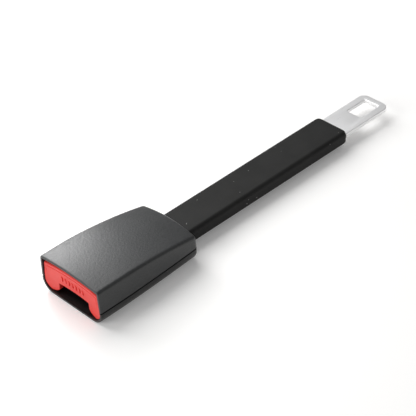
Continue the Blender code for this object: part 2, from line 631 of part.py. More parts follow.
def make_latch():
    """The latch: a thick steel plate that turns on its pin. The tooth under it drops through the tongue's
    window, and the wedge on its nose is what the lock bar bears on. The profile is drawn locked, then
    lifted."""
    bar_front = BAR_START - BAR_TRAVEL
    drop = (PIVOT_BACK - BAR_START) * math.sin(LATCH_LIFT)
    steep = drop / BAR_TRAVEL * WEDGE_STEEPENING
    chamfer_rise = BAR_CHAMFER * steep
    away = LATCH_CLEARANCE / math.hypot(steep, 1.0)
    line_x, line_z = bar_front + BAR_CHAMFER - away * steep, BAR_BASE - away
    wedge_top = BAR_BASE + chamfer_rise / 2
    boss_front = PIVOT_BACK - LATCH_BOSS_RADIUS / 2
    profile = [(LATCH_FRONT, LATCH_UNDER), (RAMP_PEAK, LATCH_UNDER),
               (RAMP_PEAK + EJECTOR_TRAVEL / 2, LATCH_UNDER + RAMP_RISE * UNDERSIDE_RELIEF),
               (boss_front, LATCH_UNDER + RAMP_SLOPE * (boss_front - RAMP_PEAK))]
    profile += [
        (PIVOT_BACK + LATCH_BOSS_RADIUS * math.cos(a), PIVOT_HEIGHT + LATCH_BOSS_RADIUS * math.sin(a))
        for a in (math.radians(d) for d in range(-75, 111, 15))
    ]
    profile += [(RAMP_PEAK, LATCH_TOP), (line_x + (line_z - LATCH_TOP) / steep, LATCH_TOP),
                (line_x - (wedge_top - line_z) / steep, wedge_top), (LATCH_FRONT, wedge_top)]
    latch = plate_along_y("latch", profile, -LATCH_WIDTH / 2, LATCH_WIDTH / 2, STEEL, PIVOT)
    tip, root = LATCH_UNDER - TOOTH_REACH, LATCH_UNDER + LATCH_STEEL / 2
    tooth_back = TOOTH_START + TOOTH_THICKNESS
    lead = TOOTH_THICKNESS * 0.4
    profile = [(TOOTH_START, tip), (tooth_back - lead, tip), (tooth_back, tip + lead), (tooth_back, root),
               (TOOTH_START, root)]
    tooth = plate_along_y("latch tooth", profile, -TOOTH_WIDTH / 2, TOOTH_WIDTH / 2, None, PIVOT)
    fuse(latch, tooth)
    cut(latch, crosswise("latch pin hole", PIVOT_BACK, PIVOT_HEIGHT, LATCH_WIDTH, PIN_RADIUS + GAP))
    latch.rotation_euler.y = LATCH_LIFT
    tooth.rotation_euler.y = LATCH_LIFT


def make_lock_bar():
    """The lock bar: a steel bar through both cheeks, its lower front edge chamfered to bear on the latch."""
    drop = (PIVOT_BACK - BAR_START) * math.sin(LATCH_LIFT)
    rise = BAR_CHAMFER * drop / BAR_TRAVEL * WEDGE_STEEPENING
    profile = [(BAR_START + BAR_CHAMFER, BAR_BASE), (BAR_END, BAR_BASE), (BAR_END, BAR_TOP),
               (BAR_START, BAR_TOP), (BAR_START, BAR_BASE + rise)]
    plate_along_y("lock_bar", profile, -ARM_OUTSIDE, ARM_OUTSIDE, STEEL)


def headed_pin(name, x, z, radius, head_radius, finish):
    """A pin across the frame with a formed head outside each cheek."""
    shank_reach = FRAME_OUTSIDE + GAP + HEAD_THICKNESS / 2
    pin = crosswise(name, x, z, shank_reach, radius, finish)
    for side, word in ((-1, "right"), (1, "left")):
        inner, outer = side * (FRAME_OUTSIDE + GAP), side * (FRAME_OUTSIDE + GAP + HEAD_THICKNESS)
        fuse(pin, rod(f"{name} {word} head", (MOUTH + x, inner, z), (MOUTH + x, outer, z), head_radius))


def make_pins():
    headed_pin("latch_pin", PIVOT_BACK, PIVOT_HEIGHT, PIN_RADIUS, PIN_RADIUS * 1.4, STEEL)
    headed_pin("anchor_pin", ANCHOR_BACK, TONGUE_HEIGHT, ANCHOR_RADIUS, ANCHOR_HEAD, STEEL)


def make_springs():
    """Four compression springs: behind the ejector, behind each button arm, and above the latch."""
    coil("ejector_spring", (MOUTH + EJECTOR_BACK + GAP, 0, EJECTOR_SPRING_Z),
         (MOUTH + STOP_TAB - GAP, 0, EJECTOR_SPRING_Z), EJECTOR_SPRING_RADIUS, 6, SPRING_STEEL)
    for side, word in ((-1, "right"), (1, "left")):
        y = side * BUTTON_SPRING_Y
        coil(f"button_spring_{word}", (MOUTH + ARM_END + 2 * GAP, y, BUTTON_SPRING_Z),
             (MOUTH + STOP_LUG_START - GAP, y, BUTTON_SPRING_Z), BUTTON_SPRING_RADIUS, 6, SPRING_STEEL)
    back = PIVOT_BACK - LATCH_SPRING_BACK
    rise = (LATCH_TOP - PIVOT_HEIGHT) + back * math.sin(LATCH_LIFT) + (back - LATCH_STEEL) * RAMP_SLOPE / 2
    seat = PIVOT_HEIGHT + rise + 5 * GAP
    roof = inside_height(LATCH_SPRING_BACK + LATCH_SPRING_RADIUS, LATCH_SPRING_RADIUS) - GAP
    coil("latch_spring", (MOUTH + LATCH_SPRING_BACK, 0, seat), (MOUTH + LATCH_SPRING_BACK, 0, roof),
         LATCH_SPRING_RADIUS, 4, SPRING_STEEL)


def both_sides(path, half, closed):
    """The two lines that lie half a width to either side of a path of flat points, mitred at its corners."""
    count, left, right = len(path), [], []
    for i, spot in enumerate(path):
        here = Vector(spot)
        before = Vector(path[i - 1]) if closed or i else here
        after = Vector(path[(i + 1) % count]) if closed or i < count - 1 else here
        first, second = (here - before).normalized(), (after - here).normalized()
        normal = Vector((first.y + second.y, -first.x - second.x)).normalized()
        lead = first if first.length else second
        stretch = half / max(normal.dot(Vector((lead.y, -lead.x))), 0.5)
        left.append(here + normal * stretch)
        right.append(here - normal * stretch)
    return left, right


def make_webbing():
    """The webbing: one strip round the anchor pin and through the tongue's eye, lying double between them."""
    thick = WEBBING_THICKNESS / 2
    around_pin = ANCHOR_RADIUS + GAP + thick
    half_bar = TONGUE_THICKNESS / 2 + GAP + thick
    lying = thick + GAP / 2
    converge, spread = ANCHOR_BACK + CONVERGE_LENGTH, TONGUE_START - SPREAD_LENGTH
    loop_end = TONGUE_START + EYE_BAR + GAP + thick
    under = [(converge, lying), (spread, lying), (TONGUE_START, half_bar),
             (loop_end - thick, half_bar), (loop_end, half_bar - thick)]
    pin_side = [(ANCHOR_BACK + around_pin * math.cos(a), around_pin * math.sin(a))
                for a in (math.radians(85 + 190 * i / 10) for i in range(11))]
    path = pin_side + [(x, -z) for x, z in under] + [(x, z) for x, z in reversed(under)]
    outer, inner = both_sides(path, thick, True)
    count, half = len(path), WEBBING_WIDTH / 2
    points = [(MOUTH + p.x, y, TONGUE_HEIGHT + p.y)
              for y in (-half, half) for ring in (outer, inner) for p in ring]
    faces = []
    for i in range(count):
        j = (i + 1) % count
        for a, b in ((0, 2), (2, 3), (3, 1), (1, 0)):
            faces.append((a * count + i, a * count + j, b * count + j, b * count + i))
    mesh_object("webbing", points, faces, WEBBING_BLACK)


def make_seams():
    """The seams: one thread sewn to and fro across the doubled webbing near each of its ends."""
    surface = TONGUE_HEIGHT + WEBBING_THICKNESS + GAP / 2 + GAP
    side = WEBBING_WIDTH / 2 - 2 * SEAM_PITCH / 3
    run = SEAM_PITCH * SEAM_ROWS
    for name, begin in (("seam_buckle_end", ANCHOR_BACK + CONVERGE_LENGTH + SEAM_PITCH),
                        ("seam_tongue_end", TONGUE_START - SPREAD_LENGTH - SEAM_PITCH - run)):
        path = []
        for i in range(SEAM_ROWS):
            ends = (-side, side) if i % 2 else (side, -side)
            path += [(MOUTH + begin + i * SEAM_PITCH, y) for y in ends]
        left, right = both_sides(path, THREAD / 2, False)
        loft(name, [[(p.x, p.y, z) for p in left + right[::-1]] for z in (surface, surface + THREAD)],
             THREAD_GREY)


def make_sleeve():
    """The sleeve: a stiff moulded tube over the webbing, with a flange held behind the housing's rear
    wall and a closed end round the tongue."""
    flange_end = SLEEVE_START + FLANGE_THICKNESS
    ends = [(SLEEVE_START, 0.0), (SLEEVE_END - SLEEVE_END_RADIUS, 0.0)]
    ends += [(SLEEVE_END - SLEEVE_END_RADIUS * (1 - math.sin(a)), SLEEVE_END_RADIUS * (1 - math.cos(a)))
             for a in (math.radians(d) for d in (25, 45, 62, 76))]
    sleeve = loft("sleeve", sleeve_rings(ends), SLEEVE_BLACK)
    flange = loft("sleeve flange", [
        rounded_ring(x, SLEEVE_WIDTH / 2 + SLEEVE_FLANGE, WALL + GAP,
                     SLEEVE_LIFT + SLEEVE_THICKNESS + SLEEVE_FLANGE - GAP, SLEEVE_RADIUS)
        for x in (SLEEVE_START, flange_end)])
    half = TONGUE_WIDTH / 2 + GAP
    cavity = block("sleeve cavity", (SLEEVE_START - WALL, SLEEVE_END - 2 * SLEEVE_WALL), (-half, half),
                   (SLEEVE_LIFT + SLEEVE_WALL, SLEEVE_LIFT + SLEEVE_THICKNESS - SLEEVE_WALL))
    exit_half = TONGUE_THICKNESS / 2 + GAP
    exit_slot = block("tongue exit", (SLEEVE_END - 4 * SLEEVE_WALL, SLEEVE_END + WALL), (-half, half),
                      (TONGUE_HEIGHT - exit_half, TONGUE_HEIGHT + exit_half))
    fuse(sleeve, flange)
    cut(sleeve, cavity, exit_slot)


def plan_ring(x0, x1, half, corner0, corner1, z, steps=5):
    """A rectangle in plan with its own corner radius at each end, as points round it at height z."""
    ring = []
    for cx, cy, radius, begin in (
        (x1 - corner1, half - corner1, corner1, 0), (x0 + corner0, half - corner0, corner0, 90),
        (x0 + corner0, corner0 - half, corner0, 180), (x1 - corner1, corner1 - half, corner1, 270),
    ):
        for i in range(steps + 1):
            a = math.radians(begin + 90 * i / steps)
            ring.append((MOUTH + cx + radius * math.cos(a), cy + radius * math.sin(a), z))
    return ring


def make_tongue():
    """The tongue: a stamped steel plate with the window near its tip and the webbing's eye at its back."""
    low, high = TONGUE_HEIGHT - TONGUE_THICKNESS / 2, TONGUE_HEIGHT + TONGUE_THICKNESS / 2
    half = TONGUE_WIDTH / 2
    soft = GAP
    tongue = loft("tongue", [
        plan_ring(TONGUE_START + s, TOTAL_LENGTH - e, half - s, EYE_BAR / 4, TONGUE_CORNER, z)
        for z, s, e in ((low, soft, soft), (low + soft, 0, 0), (high - soft, 0, 0), (high, soft, soft))],
        STEEL)
    near = TOTAL_LENGTH - WINDOW_FROM_TIP
    window = loft("latch window", [
        plan_ring(near, near + WINDOW_LENGTH, WINDOW_WIDTH / 2, WINDOW_CORNER, WINDOW_CORNER, z, 3)
        for z in (low - WALL, high + WALL)])
    eye = loft("webbing eye", [
        plan_ring(TONGUE_START + EYE_BAR, TONGUE_START + EYE_BAR + EYE_LENGTH, WEBBING_WIDTH / 2 + GAP,
                  WINDOW_CORNER / 2, WINDOW_CORNER / 2, z, 2) for z in (low - WALL, high + WALL)])
    cut(tongue, window, eye)


make_upper_cover()
make_lower_cover()
make_cover_screws()
make_release_button()
make_frame()
make_tongue_guide()
make_ejector()
make_latch()
make_lock_bar()
make_pins()
make_springs()
make_webbing()
make_seams()
make_sleeve()
make_tongue()
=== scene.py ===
"""Looks of a rigid seat belt extender: a black push-button buckle, a moulded sleeve and a steel tongue.

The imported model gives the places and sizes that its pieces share. All lengths are metres, with +X from the
mouth to the tongue's tip.
"""
import math

import bmesh
import bpy
import numpy as np
from mathutils import Matrix, Vector


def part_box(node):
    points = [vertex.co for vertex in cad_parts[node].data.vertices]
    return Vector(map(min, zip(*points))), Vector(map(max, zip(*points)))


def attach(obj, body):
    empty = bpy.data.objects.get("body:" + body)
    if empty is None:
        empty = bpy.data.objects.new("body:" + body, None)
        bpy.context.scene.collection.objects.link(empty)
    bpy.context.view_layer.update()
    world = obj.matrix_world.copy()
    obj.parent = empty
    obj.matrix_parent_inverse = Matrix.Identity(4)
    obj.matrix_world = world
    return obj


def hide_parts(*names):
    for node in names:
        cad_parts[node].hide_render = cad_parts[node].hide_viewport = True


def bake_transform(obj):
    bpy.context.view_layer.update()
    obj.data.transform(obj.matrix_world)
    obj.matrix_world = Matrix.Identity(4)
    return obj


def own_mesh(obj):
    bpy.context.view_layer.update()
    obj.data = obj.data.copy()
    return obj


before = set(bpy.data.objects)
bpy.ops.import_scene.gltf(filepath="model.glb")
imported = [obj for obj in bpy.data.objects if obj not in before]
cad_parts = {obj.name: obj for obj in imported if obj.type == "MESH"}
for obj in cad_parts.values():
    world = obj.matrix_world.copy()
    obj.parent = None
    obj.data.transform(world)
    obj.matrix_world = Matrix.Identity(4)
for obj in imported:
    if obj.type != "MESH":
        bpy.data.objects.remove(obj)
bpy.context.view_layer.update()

scene = bpy.context.scene

# Camera.
# It looks down over the mouth's corner, at the angle, distance and size at which the photograph shows the
# part.
IMAGE_SIZE = 416                  # pixels each way
CAMERA_AZIMUTH = math.radians(-41.4)
CAMERA_ELEVATION = math.radians(37.55)
CAMERA_ROLL = math.radians(-4.3)
CAMERA_DISTANCE = 0.921
PIXELS_PER_METRE = 1778           # on the part, at the camera's distance
LOOK_FROM = Vector((-0.065, 0.0, 0.010))
LOOK_SLIDE = (0.0314, 0.0188)     # the aim point beyond LOOK_FROM, to the view's right and upward
SENSOR = 36.0

view_back = Vector((math.sin(CAMERA_AZIMUTH) * math.cos(CAMERA_ELEVATION),
                    -math.cos(CAMERA_AZIMUTH) * math.cos(CAMERA_ELEVATION), math.sin(CAMERA_ELEVATION)))
level = Vector((0, 0, 1)).cross(view_back).normalized()
upward = view_back.cross(level)
camera_right = math.cos(CAMERA_ROLL) * level + math.sin(CAMERA_ROLL) * upward
camera_up = math.cos(CAMERA_ROLL) * upward - math.sin(CAMERA_ROLL) * level
aim = LOOK_FROM + LOOK_SLIDE[0] * camera_right + LOOK_SLIDE[1] * camera_up
lens = bpy.data.cameras.new("camera")
lens.sensor_width = SENSOR
lens.lens = PIXELS_PER_METRE * CAMERA_DISTANCE / IMAGE_SIZE * SENSOR
lens.clip_end = 20.0
camera = bpy.data.objects.new("camera", lens)
camera.matrix_world = Matrix((
    (camera_right.x, camera_up.x, view_back.x, 0), (camera_right.y, camera_up.y, view_back.y, 0),
    (camera_right.z, camera_up.z, view_back.z, 0), (0, 0, 0, 1)))
camera.location = aim + CAMERA_DISTANCE * view_back
scene.collection.objects.link(camera)
scene.camera = camera

# Floor.
# A plain pale sheet under the part. It shows near white to the camera and in reflections, and keeps the
# part's soft shadow.
FLOOR_REACH = 3.0
FLOOR_COLOUR = (0.90, 0.893, 0.882, 1.0)
FLOOR_LIFT = 0.17                 # added to what is seen of the floor, so that it is near white


class Shade:
    """A shader socket that can be added, subtracted and multiplied like a number."""

    def __init__(self, tree, socket):
        self.tree, self.socket = tree, socket

    def node(self, kind, values=(), output=0, **settings):
        """A node of this kind with its settings and its sockets' values or links, as one of its outputs."""
        made = self.tree.nodes.new(kind)
        for name, value in settings.items():
            setattr(made, name, value)
        for name, value in dict(values).items():
            if isinstance(value, Shade):
                self.tree.links.new(value.socket, made.inputs[name])
            else:
                made.inputs[name].default_value = value
        return Shade(self.tree, made.outputs[output])

    def maths(self, operation, first, second=0.0):
        """What a maths node makes of one or two values."""
        return self.node("ShaderNodeMath", {0: first, 1: second}, operation=operation)

    def __add__(self, other):
        return self.maths("ADD", self, other)

    def __radd__(self, other):
        return self.maths("ADD", other, self)

    def __sub__(self, other):
        return self.maths("SUBTRACT", self, other)

    def __mul__(self, other):
        return self.maths("MULTIPLY", self, other)

    def __rmul__(self, other):
        return self.maths("MULTIPLY", other, self)

    def sine(self):
        """Its sine, with the value as an angle."""
        return self.maths("SINE", self)

    def along(self, axis):
        """The X, Y or Z of a place in space."""
        return self.node("ShaderNodeSeparateXYZ", {"Vector": self}, axis)

    def between(self, low, high):
        """0 below low, 1 above high and smooth between them."""
        return self.node("ShaderNodeMapRange", {"Value": self, "From Min": low, "From Max": high},
                         interpolation_type="SMOOTHSTEP")

    def fading(self, low, high):
        """1 below low, 0 above high and smooth between them."""
        return (-1 * self).between(-high, -low)

    def blend(self, first, second):
        """From the first colour where this is 0 to the second where it is 1."""
        return self.node("ShaderNodeMix", {0: self, 6: first, 7: second}, output=2, data_type="RGBA")

    def noise(self, per_metre, detail=2.0):
        """Cloudy noise over a place in space, at so many cells in a metre."""
        return self.node("ShaderNodeTexNoise", {"Vector": self, "Scale": per_metre, "Detail": detail})

    def streaks(self, per_metre):
        """Noise over a place in space, with its own number of cells in a metre along each axis."""
        scaled = self.node("ShaderNodeVectorMath", {0: self, 1: per_metre}, operation="MULTIPLY")
        return scaled.noise(1.0, 3.0)

    def bump(self, depth):
        """The surface's normal, with this as its height in units of depth."""
        return self.node("ShaderNodeBump", {"Height": self, "Distance": depth, "Strength": 1.0})


def new_finish(name, roughness, metallic=0.0, specular=0.5):
    """A Principled material, its shader, and its Object coordinates."""
    made = bpy.data.materials.new(name)
    made.use_nodes = True
    shader = made.node_tree.nodes["Principled BSDF"]
    shader.inputs["Roughness"].default_value = roughness
    shader.inputs["Metallic"].default_value = metallic
    shader.inputs["Specular IOR Level"].default_value = specular
    place = Shade(made.node_tree, None).node("ShaderNodeTexCoord", output="Object")
    return made, shader, place


def feed(shader, **sockets):
    """Links each value to the shader's socket of that name, with _ for a space."""
    for name, value in sockets.items():
        value.tree.links.new(value.socket, shader.inputs[name.replace("_", " ")])


floor_finish, floor_shader, floor_place = new_finish("floor", 0.9, specular=0.0)
floor_shader.inputs["Base Color"].default_value = FLOOR_COLOUR
seen = (floor_place.node("ShaderNodeLightPath", output="Is Camera Ray")
        + floor_place.node("ShaderNodeLightPath", output="Is Glossy Ray"))
feed(floor_shader, Emission_Color=seen.blend((0, 0, 0, 1), (1, 1, 1, 1)))
floor_shader.inputs["Emission Strength"].default_value = FLOOR_LIFT

floor_mesh = bpy.data.meshes.new("floor")
corners = FLOOR_REACH * np.array([(-1, -1, 0), (1, -1, 0), (1, 1, 0), (-1, 1, 0)], float)
floor_mesh.from_pydata(corners.tolist(), [], [(0, 1, 2, 3)])
floor_mesh.materials.append(floor_finish)
floor = bpy.data.objects.new("floor", floor_mesh)
scene.collection.objects.link(floor)

# Light.
# A large soft box behind the part on its left, a broad one before the mouth, and a small close one whose
# sheen falls off over the cover's front, in a dim plain world. Each has its place, size and power.
WORLD_LEVEL = 0.255
KEY_LIGHT = ((0.05, 1.00, 1.10), 1.5, 23.5)
FRONT_LIGHT = ((-1.30, 0.30, 0.55), 0.8, 8.4)
SHEEN_LIGHT = ((-0.040, 0.160, 0.114), 0.08, 0.052)
SHEEN_AIM = (-0.120, 0.020, 0.024)
SHEEN_SPREAD = math.radians(100)


def soft_box(name, aim_at, place, size, power):
    """A square lamp of this size at a place, turned to a point, that shows only by its light."""
    lamp = bpy.data.lights.new(name, "AREA")
    lamp.size, lamp.energy = size, power
    holder = bpy.data.objects.new(name, lamp)
    holder.location = place
    holder.rotation_mode = "QUATERNION"
    holder.rotation_quaternion = (Vector(aim_at) - Vector(place)).to_track_quat("-Z", "Y")
    holder.visible_camera = False
    scene.collection.objects.link(holder)
    return lamp


soft_box("key_light", LOOK_FROM, *KEY_LIGHT)
soft_box("front_light", LOOK_FROM, *FRONT_LIGHT)
sheen = soft_box("sheen_light", SHEEN_AIM, *SHEEN_LIGHT)
sheen.spread = SHEEN_SPREAD
scene.world = bpy.data.worlds.new("world")
scene.world.use_nodes = True
sky = Shade(scene.world.node_tree, None)
backdrop = scene.world.node_tree.nodes["Background"]
to_camera = sky.node("ShaderNodeLightPath", output="Is Camera Ray")
world_colour = to_camera.blend((WORLD_LEVEL,) * 3 + (1,), (1, 1, 1, 1))
sky.tree.links.new(world_colour.socket, backdrop.inputs["Color"])
scene.view_settings.view_transform = "Standard"

# Buckle covers.
# Two injection-moulded shells of grained black plastic, screwed together from below, with a fine groove
# between them. Each is one wall folded back on itself: outside, round the rear, in at the sleeve's opening
# and forward inside. Screw columns and a spring's peg hang from the upper one. The mouth's inside and the
# groove are painted near black as painted shade, and the lower shell is painted darker as shade.
GAP = 0.0003                      # clearance between neighbouring pieces
COVER_WALL = 0.0014
CROWN_RISE = 0.0015
REAR_FALL = 0.0066
REAR_TAPER = 0.0025
STRAIGHT_MOUTH = 0.015
TAPER_EASE = 1.4
RIDGE_EASE = 1.8
REAR_BULGE = 0.0013
BULGE_START = 0.7                 # of the buckle's length
LOWER_RADIUS = 0.0078
RIDGE_RADIUS = 0.0020
LEAST_SOFT = 0.0004               # smallest corner inside the wall
SIDE_LEAN = 0.0006
LIP_INSET = 0.00035
LIP_LENGTH = 0.0009
REAR_RADIUS = 0.0022
PARTING_GAP = 0.0010              # outside; the groove closes inward to the next value
PARTING_SHUT = 0.0001
SLEEVE_HALF = 0.01225
SLEEVE_FLOOR = 0.0032
SLEEVE_TOP = 0.0122
SLEEVE_RADIUS = 0.0024
OPENING_RADIUS = SLEEVE_RADIUS + GAP
COVER_BLACK = (0.0245, 0.0253, 0.0260, 1.0)
COVER_PALE = (0.0500, 0.0518, 0.0532, 1.0)
TRAY_SHADE_BLACK = (0.012, 0.012, 0.0118, 1.0)         # painted shade: darker below the parting line
TRAY_SHADE_PALE = (0.021, 0.021, 0.0206, 1.0)
GRAIN_PER_METRE = 2400
GRAIN_DEPTH = 0.00008
COVER_SPECULAR = 0.36
# painted shade, near black, inside the mouth and in the parting groove
PAINTED_SHADE_BLACK = (0.004, 0.004, 0.004, 1.0)
MOUTH_SHADE_BACK = (0.0006, 0.0010)      # the mouth's painted shade inside, from none to full: behind the mouth
MOUTH_SHADE_FLOOR = (0.0005, 0.0010)     # and above the floor
MOUTH_SHADE_TOP = (0.0080, 0.0082)       # from full to none: above the floor
MOUTH_SHADE_SIDE = (0.0150, 0.0155)      # and beside the middle
GROOVE_SHADE_EDGE = (0.00001, 0.00005)  # the groove's painted shade, from none to full: from its edges
SCREW_PLACES = ((0.0205, 0.0184), (0.0570, 0.0174))    # behind the mouth and beside the middle
COLUMN_RADIUS = 0.0021
PILOT_RADIUS = 0.00125
PILOT_DEPTH = 0.0060
PEG_RADIUS = 0.0011
PEG_LENGTH = 0.0025
LATCH_SPRING_BACK = 0.0400
SHARP_ANGLE = 35                  # degrees; an edge that turns by more stays sharp

upper_low, upper_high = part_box("upper_cover")
lower_low, lower_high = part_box("lower_cover")
mouth = lower_low.x
buckle_length = upper_high.x - mouth
buckle_half = lower_high.y
ridge_level = upper_high.z - CROWN_RISE
lower_level = upper_low.z - PARTING_GAP
quarter = math.pi / 2
screw_spots = [(mouth + back, side * across) for back, across in SCREW_PLACES for side in (-1, 1)]


def new_piece(name, points, faces, finish, sharp=SHARP_ANGLE):
    """A closed mesh from arrays of points and faces, with its doubles merged and its faces pointing out."""
    mesh = bpy.data.meshes.new(name)
    mesh.from_pydata(np.asarray(points, float).reshape(-1, 3).tolist(), [], faces)
    shape = bmesh.new()
    shape.from_mesh(mesh)
    bmesh.ops.remove_doubles(shape, verts=shape.verts, dist=1e-6)
    bmesh.ops.recalc_face_normals(shape, faces=shape.faces)
    if shape.calc_volume(signed=True) < 0:
        bmesh.ops.reverse_faces(shape, faces=shape.faces)
    shape.to_mesh(mesh)
    shape.free()
    mesh.materials.append(finish)
    mesh.shade_smooth()
    mesh.set_sharp_from_angle(angle=math.radians(sharp))
    made = bpy.data.objects.new(name, mesh)
    scene.collection.objects.link(made)
    return made


def grid_faces(rows, columns, rows_close=False, columns_close=False):
    """Quads between neighbouring points of a grid of rows by columns, joined round where a way closes."""
    row, column = np.meshgrid(np.arange(rows if rows_close else rows - 1),
                              np.arange(columns if columns_close else columns - 1), indexing="ij")
    below, beside = (row + 1) % rows, (column + 1) % columns
    quads = np.stack([row * columns + column, row * columns + beside, below * columns + beside,
                      below * columns + column], -1)
    return quads.reshape(-1, 4).tolist()


def rod_faces(rings, count):
    """Quads between rings of so many points each, and a face over each end."""
    last = (rings - 1) * count
    ends = [list(range(count))[::-1], list(range(last, last + count))]
    return grid_faces(rings, count, columns_close=True) + ends


def shaped(piece, operation, shapes):
    """Cuts closed shapes, each its points and faces, from the piece or joins them to it."""
    tools = [new_piece("tool", *shape, piece.data.materials[0]) for shape in shapes]
    for tool in tools:
        step = piece.modifiers.new(operation, "BOOLEAN")
        step.operation, step.object, step.solver = operation, tool, "EXACT"
    made = bpy.data.meshes.new_from_object(piece.evaluated_get(bpy.context.evaluated_depsgraph_get()))
    piece.modifiers.clear()
    piece.data = made
    for tool in tools:
        bpy.data.objects.remove(tool)
    made.shade_smooth()
    made.set_sharp_from_angle(angle=math.radians(SHARP_ANGLE))


def block_shape(low, high):
    """A box between two corners."""
    (x0, y0, z0), (x1, y1, z1) = low, high
    points = [(x, y, z) for z in (z0, z1) for x, y in ((x0, y0), (x1, y0), (x1, y1), (x0, y1))]
    return points, rod_faces(2, 4)


def prism_shape(outline, low, high):
    """A side outline of (x, z) points carried across from y low to y high."""
    side = np.array(outline, float)
    return np.concatenate([np.insert(side, 1, y, axis=1) for y in (low, high)]), rod_faces(2, len(side))


def turned_shape(centre, profile, sides, axis=2):
    """A closed profile of (distance from the axis, place along it) turned about a line through centre along
    an axis. Where the profile touches the axis its points fall together and are merged."""
    reach, along = np.array(profile, float).T
    turn = np.linspace(0, 2 * np.pi, sides, endpoint=False)
    points = np.zeros((len(reach), sides, 3))
    points[..., (axis + 1) % 3] = reach[:, None] * np.cos(turn)
    points[..., (axis + 2) % 3] = reach[:, None] * np.sin(turn)
    points[..., axis] = along[:, None]
    return points + np.array(centre, float), grid_faces(len(reach), sides, True, True)


def resampled(outline, count):
    """The same line of (y, z) points with this many points, evenly spaced along it."""
    outline = np.array(outline, float)
    run = np.concatenate([[0], np.cumsum(np.hypot(*np.diff(outline, axis=0).T))])
    steps = np.linspace(0, run[-1], count)
    return np.stack([np.interp(steps, run, outline[:, 0]), np.interp(steps, run, outline[:, 1])], -1)


def arc(centre, radius, start, end, samples):
    """Points of a circle's arc, with 0 along +Y and a quarter turn along +Z."""
    turn = np.linspace(start, end, samples)
    return np.stack([centre[0] + radius * np.cos(turn), centre[1] + radius * np.sin(turn)], -1)


def taper(back, start=STRAIGHT_MOUTH, ease=TAPER_EASE):
    """How far the housing's taper has gone at this distance behind the mouth: 0 up to start, 1 at the
    rear."""
    return np.clip((back - start) / (buckle_length - start), 0, 1) ** ease


def half_width(back, inset=0.0):
    """The housing's half width below its lean at this distance behind the mouth, moved inward."""
    return buckle_half - REAR_TAPER * taper(back) - inset


def ridge_height(back, inset=0.0):
    """The ridge's level at this distance behind the mouth, moved inward."""
    return ridge_level - REAR_FALL * taper(back, ease=RIDGE_EASE) - inset


def crown(across, top):
    """How far the crown's parabola stands above the ridge at a place across a top of this half width."""
    return CROWN_RISE * (1 - (across / top) ** 2)


def lean_in(level, ridge):
    """How far the side has leaned in at this level, on its way from the lower corner up to the ridge."""
    return SIDE_LEAN * (level - LOWER_RADIUS) / (ridge - LOWER_RADIUS)


def upper_half(back, inset):
    """Half of the upper cover's section: the leaning side, the ridge as a quadratic curve, and the crown as a
    parabola across the width."""
    half, ridge = half_width(back, inset), ridge_height(back, inset)
    top, soft = half - SIDE_LEAN, max(RIDGE_RADIUS - inset, LEAST_SOFT)
    foot = np.array((half - lean_in(upper_low.z, ridge), upper_low.z))
    start = np.array((half - lean_in(ridge - soft, ridge), ridge - soft))
    end = np.array((top - soft, ridge + crown(top - soft, top)))
    side = foot + np.linspace(0, 1, 14)[:, None] * (start - foot)
    share = np.linspace(0, 1, 11)[1:, None]
    bend = (1 - share) ** 2 * start + 2 * share * (1 - share) * np.array((top, ridge)) + share ** 2 * end
    over = end[0] * np.linspace(1, 0, 22)[1:]
    return np.concatenate([side, bend, np.stack([over, ridge + crown(over, top)], -1)])


def lower_half(back, inset):
    """Half of the lower cover's section: the side below the parting line, the corner's arc and the floor."""
    half, radius = half_width(back, inset), LOWER_RADIUS - inset
    level = lower_level + (PARTING_GAP - PARTING_SHUT) * inset / COVER_WALL
    low_arc = arc((half - radius, LOWER_RADIUS), radius, 0, -quarter, 18)
    top = np.array((half - lean_in(level, ridge_height(back, inset)), level))
    side = top + np.linspace(0, 1, 4)[:-1, None] * (low_arc[0] - top)
    floor_line = np.stack([(half - radius) * np.linspace(1, 0, 12)[1:], np.full(11, inset)], -1)
    return np.concatenate([side, low_arc, floor_line])


def opening_half(level, end, count):
    """Half of the sleeve's opening, from the parting line to its end at the middle, above or below."""
    half = SLEEVE_HALF + GAP
    inward = math.copysign(OPENING_RADIUS, end - level)
    bend = arc((half - OPENING_RADIUS, end - inward), OPENING_RADIUS, 0, math.copysign(quarter, inward), 9)
    return resampled(np.concatenate([[(half, level)], bend, [(0, end)]]), count)


def mirrored(halves):
    """Across and height of whole lines from one side over to the other, made from their +Y halves."""
    whole = np.concatenate([halves * (-1, 1), halves[:, -2::-1]], 1)
    return whole[..., 0], whole[..., 1]


def folded_wall(half_section, opening):
    """The whole wall: each station's half section and its mirror image, in order round the fold. The rear
    bows out by a parabola across the width, and quads close the wall's long edges at the parting line."""
    body_end, inner = buckle_length - REAR_RADIUS, REAR_RADIUS - COVER_WALL
    turn = np.linspace(0, quarter, 8)
    stations = [(LIP_LENGTH * (1 - math.cos(a)), LIP_INSET * (1 - math.sin(a))) for a in turn]
    stations += [(back, 0.0) for back in np.linspace(LIP_LENGTH, body_end, 40)[1:]]
    inside = [(back, COVER_WALL) for back, _ in stations[::-1]]
    stations += [(body_end + REAR_RADIUS * math.sin(a), REAR_RADIUS * (1 - math.cos(a))) for a in turn[1:]]
    rear = [(body_end + inner * math.sin(a), COVER_WALL + inner * (1 - math.cos(a))) for a in turn[:0:-1]]
    inside = rear + inside
    hole = opening_half(*opening, len(half_section(0.0, 0.0)))
    backs = [back for back, _ in stations] + [buckle_length, buckle_length - COVER_WALL]
    backs = np.array(backs + [back for back, _ in inside])[:, None]
    sections = [half_section(*s) for s in stations] + [hole, hole] + [half_section(*s) for s in inside]
    across, height = mirrored(np.array(sections))
    bulge = REAR_BULGE * taper(backs, BULGE_START * buckle_length)
    points = np.stack([mouth + backs - bulge * (across / half_width(backs)) ** 2, across, height], -1)
    rows, columns = across.shape
    row = np.arange(rows // 2 - 1)
    across_wall = np.stack([row, row + 1, rows - 2 - row, rows - 1 - row], -1) * columns
    edges = np.concatenate([across_wall, across_wall[:, ::-1] + columns - 1]).tolist()
    return points, grid_faces(rows, columns, rows_close=True) + edges


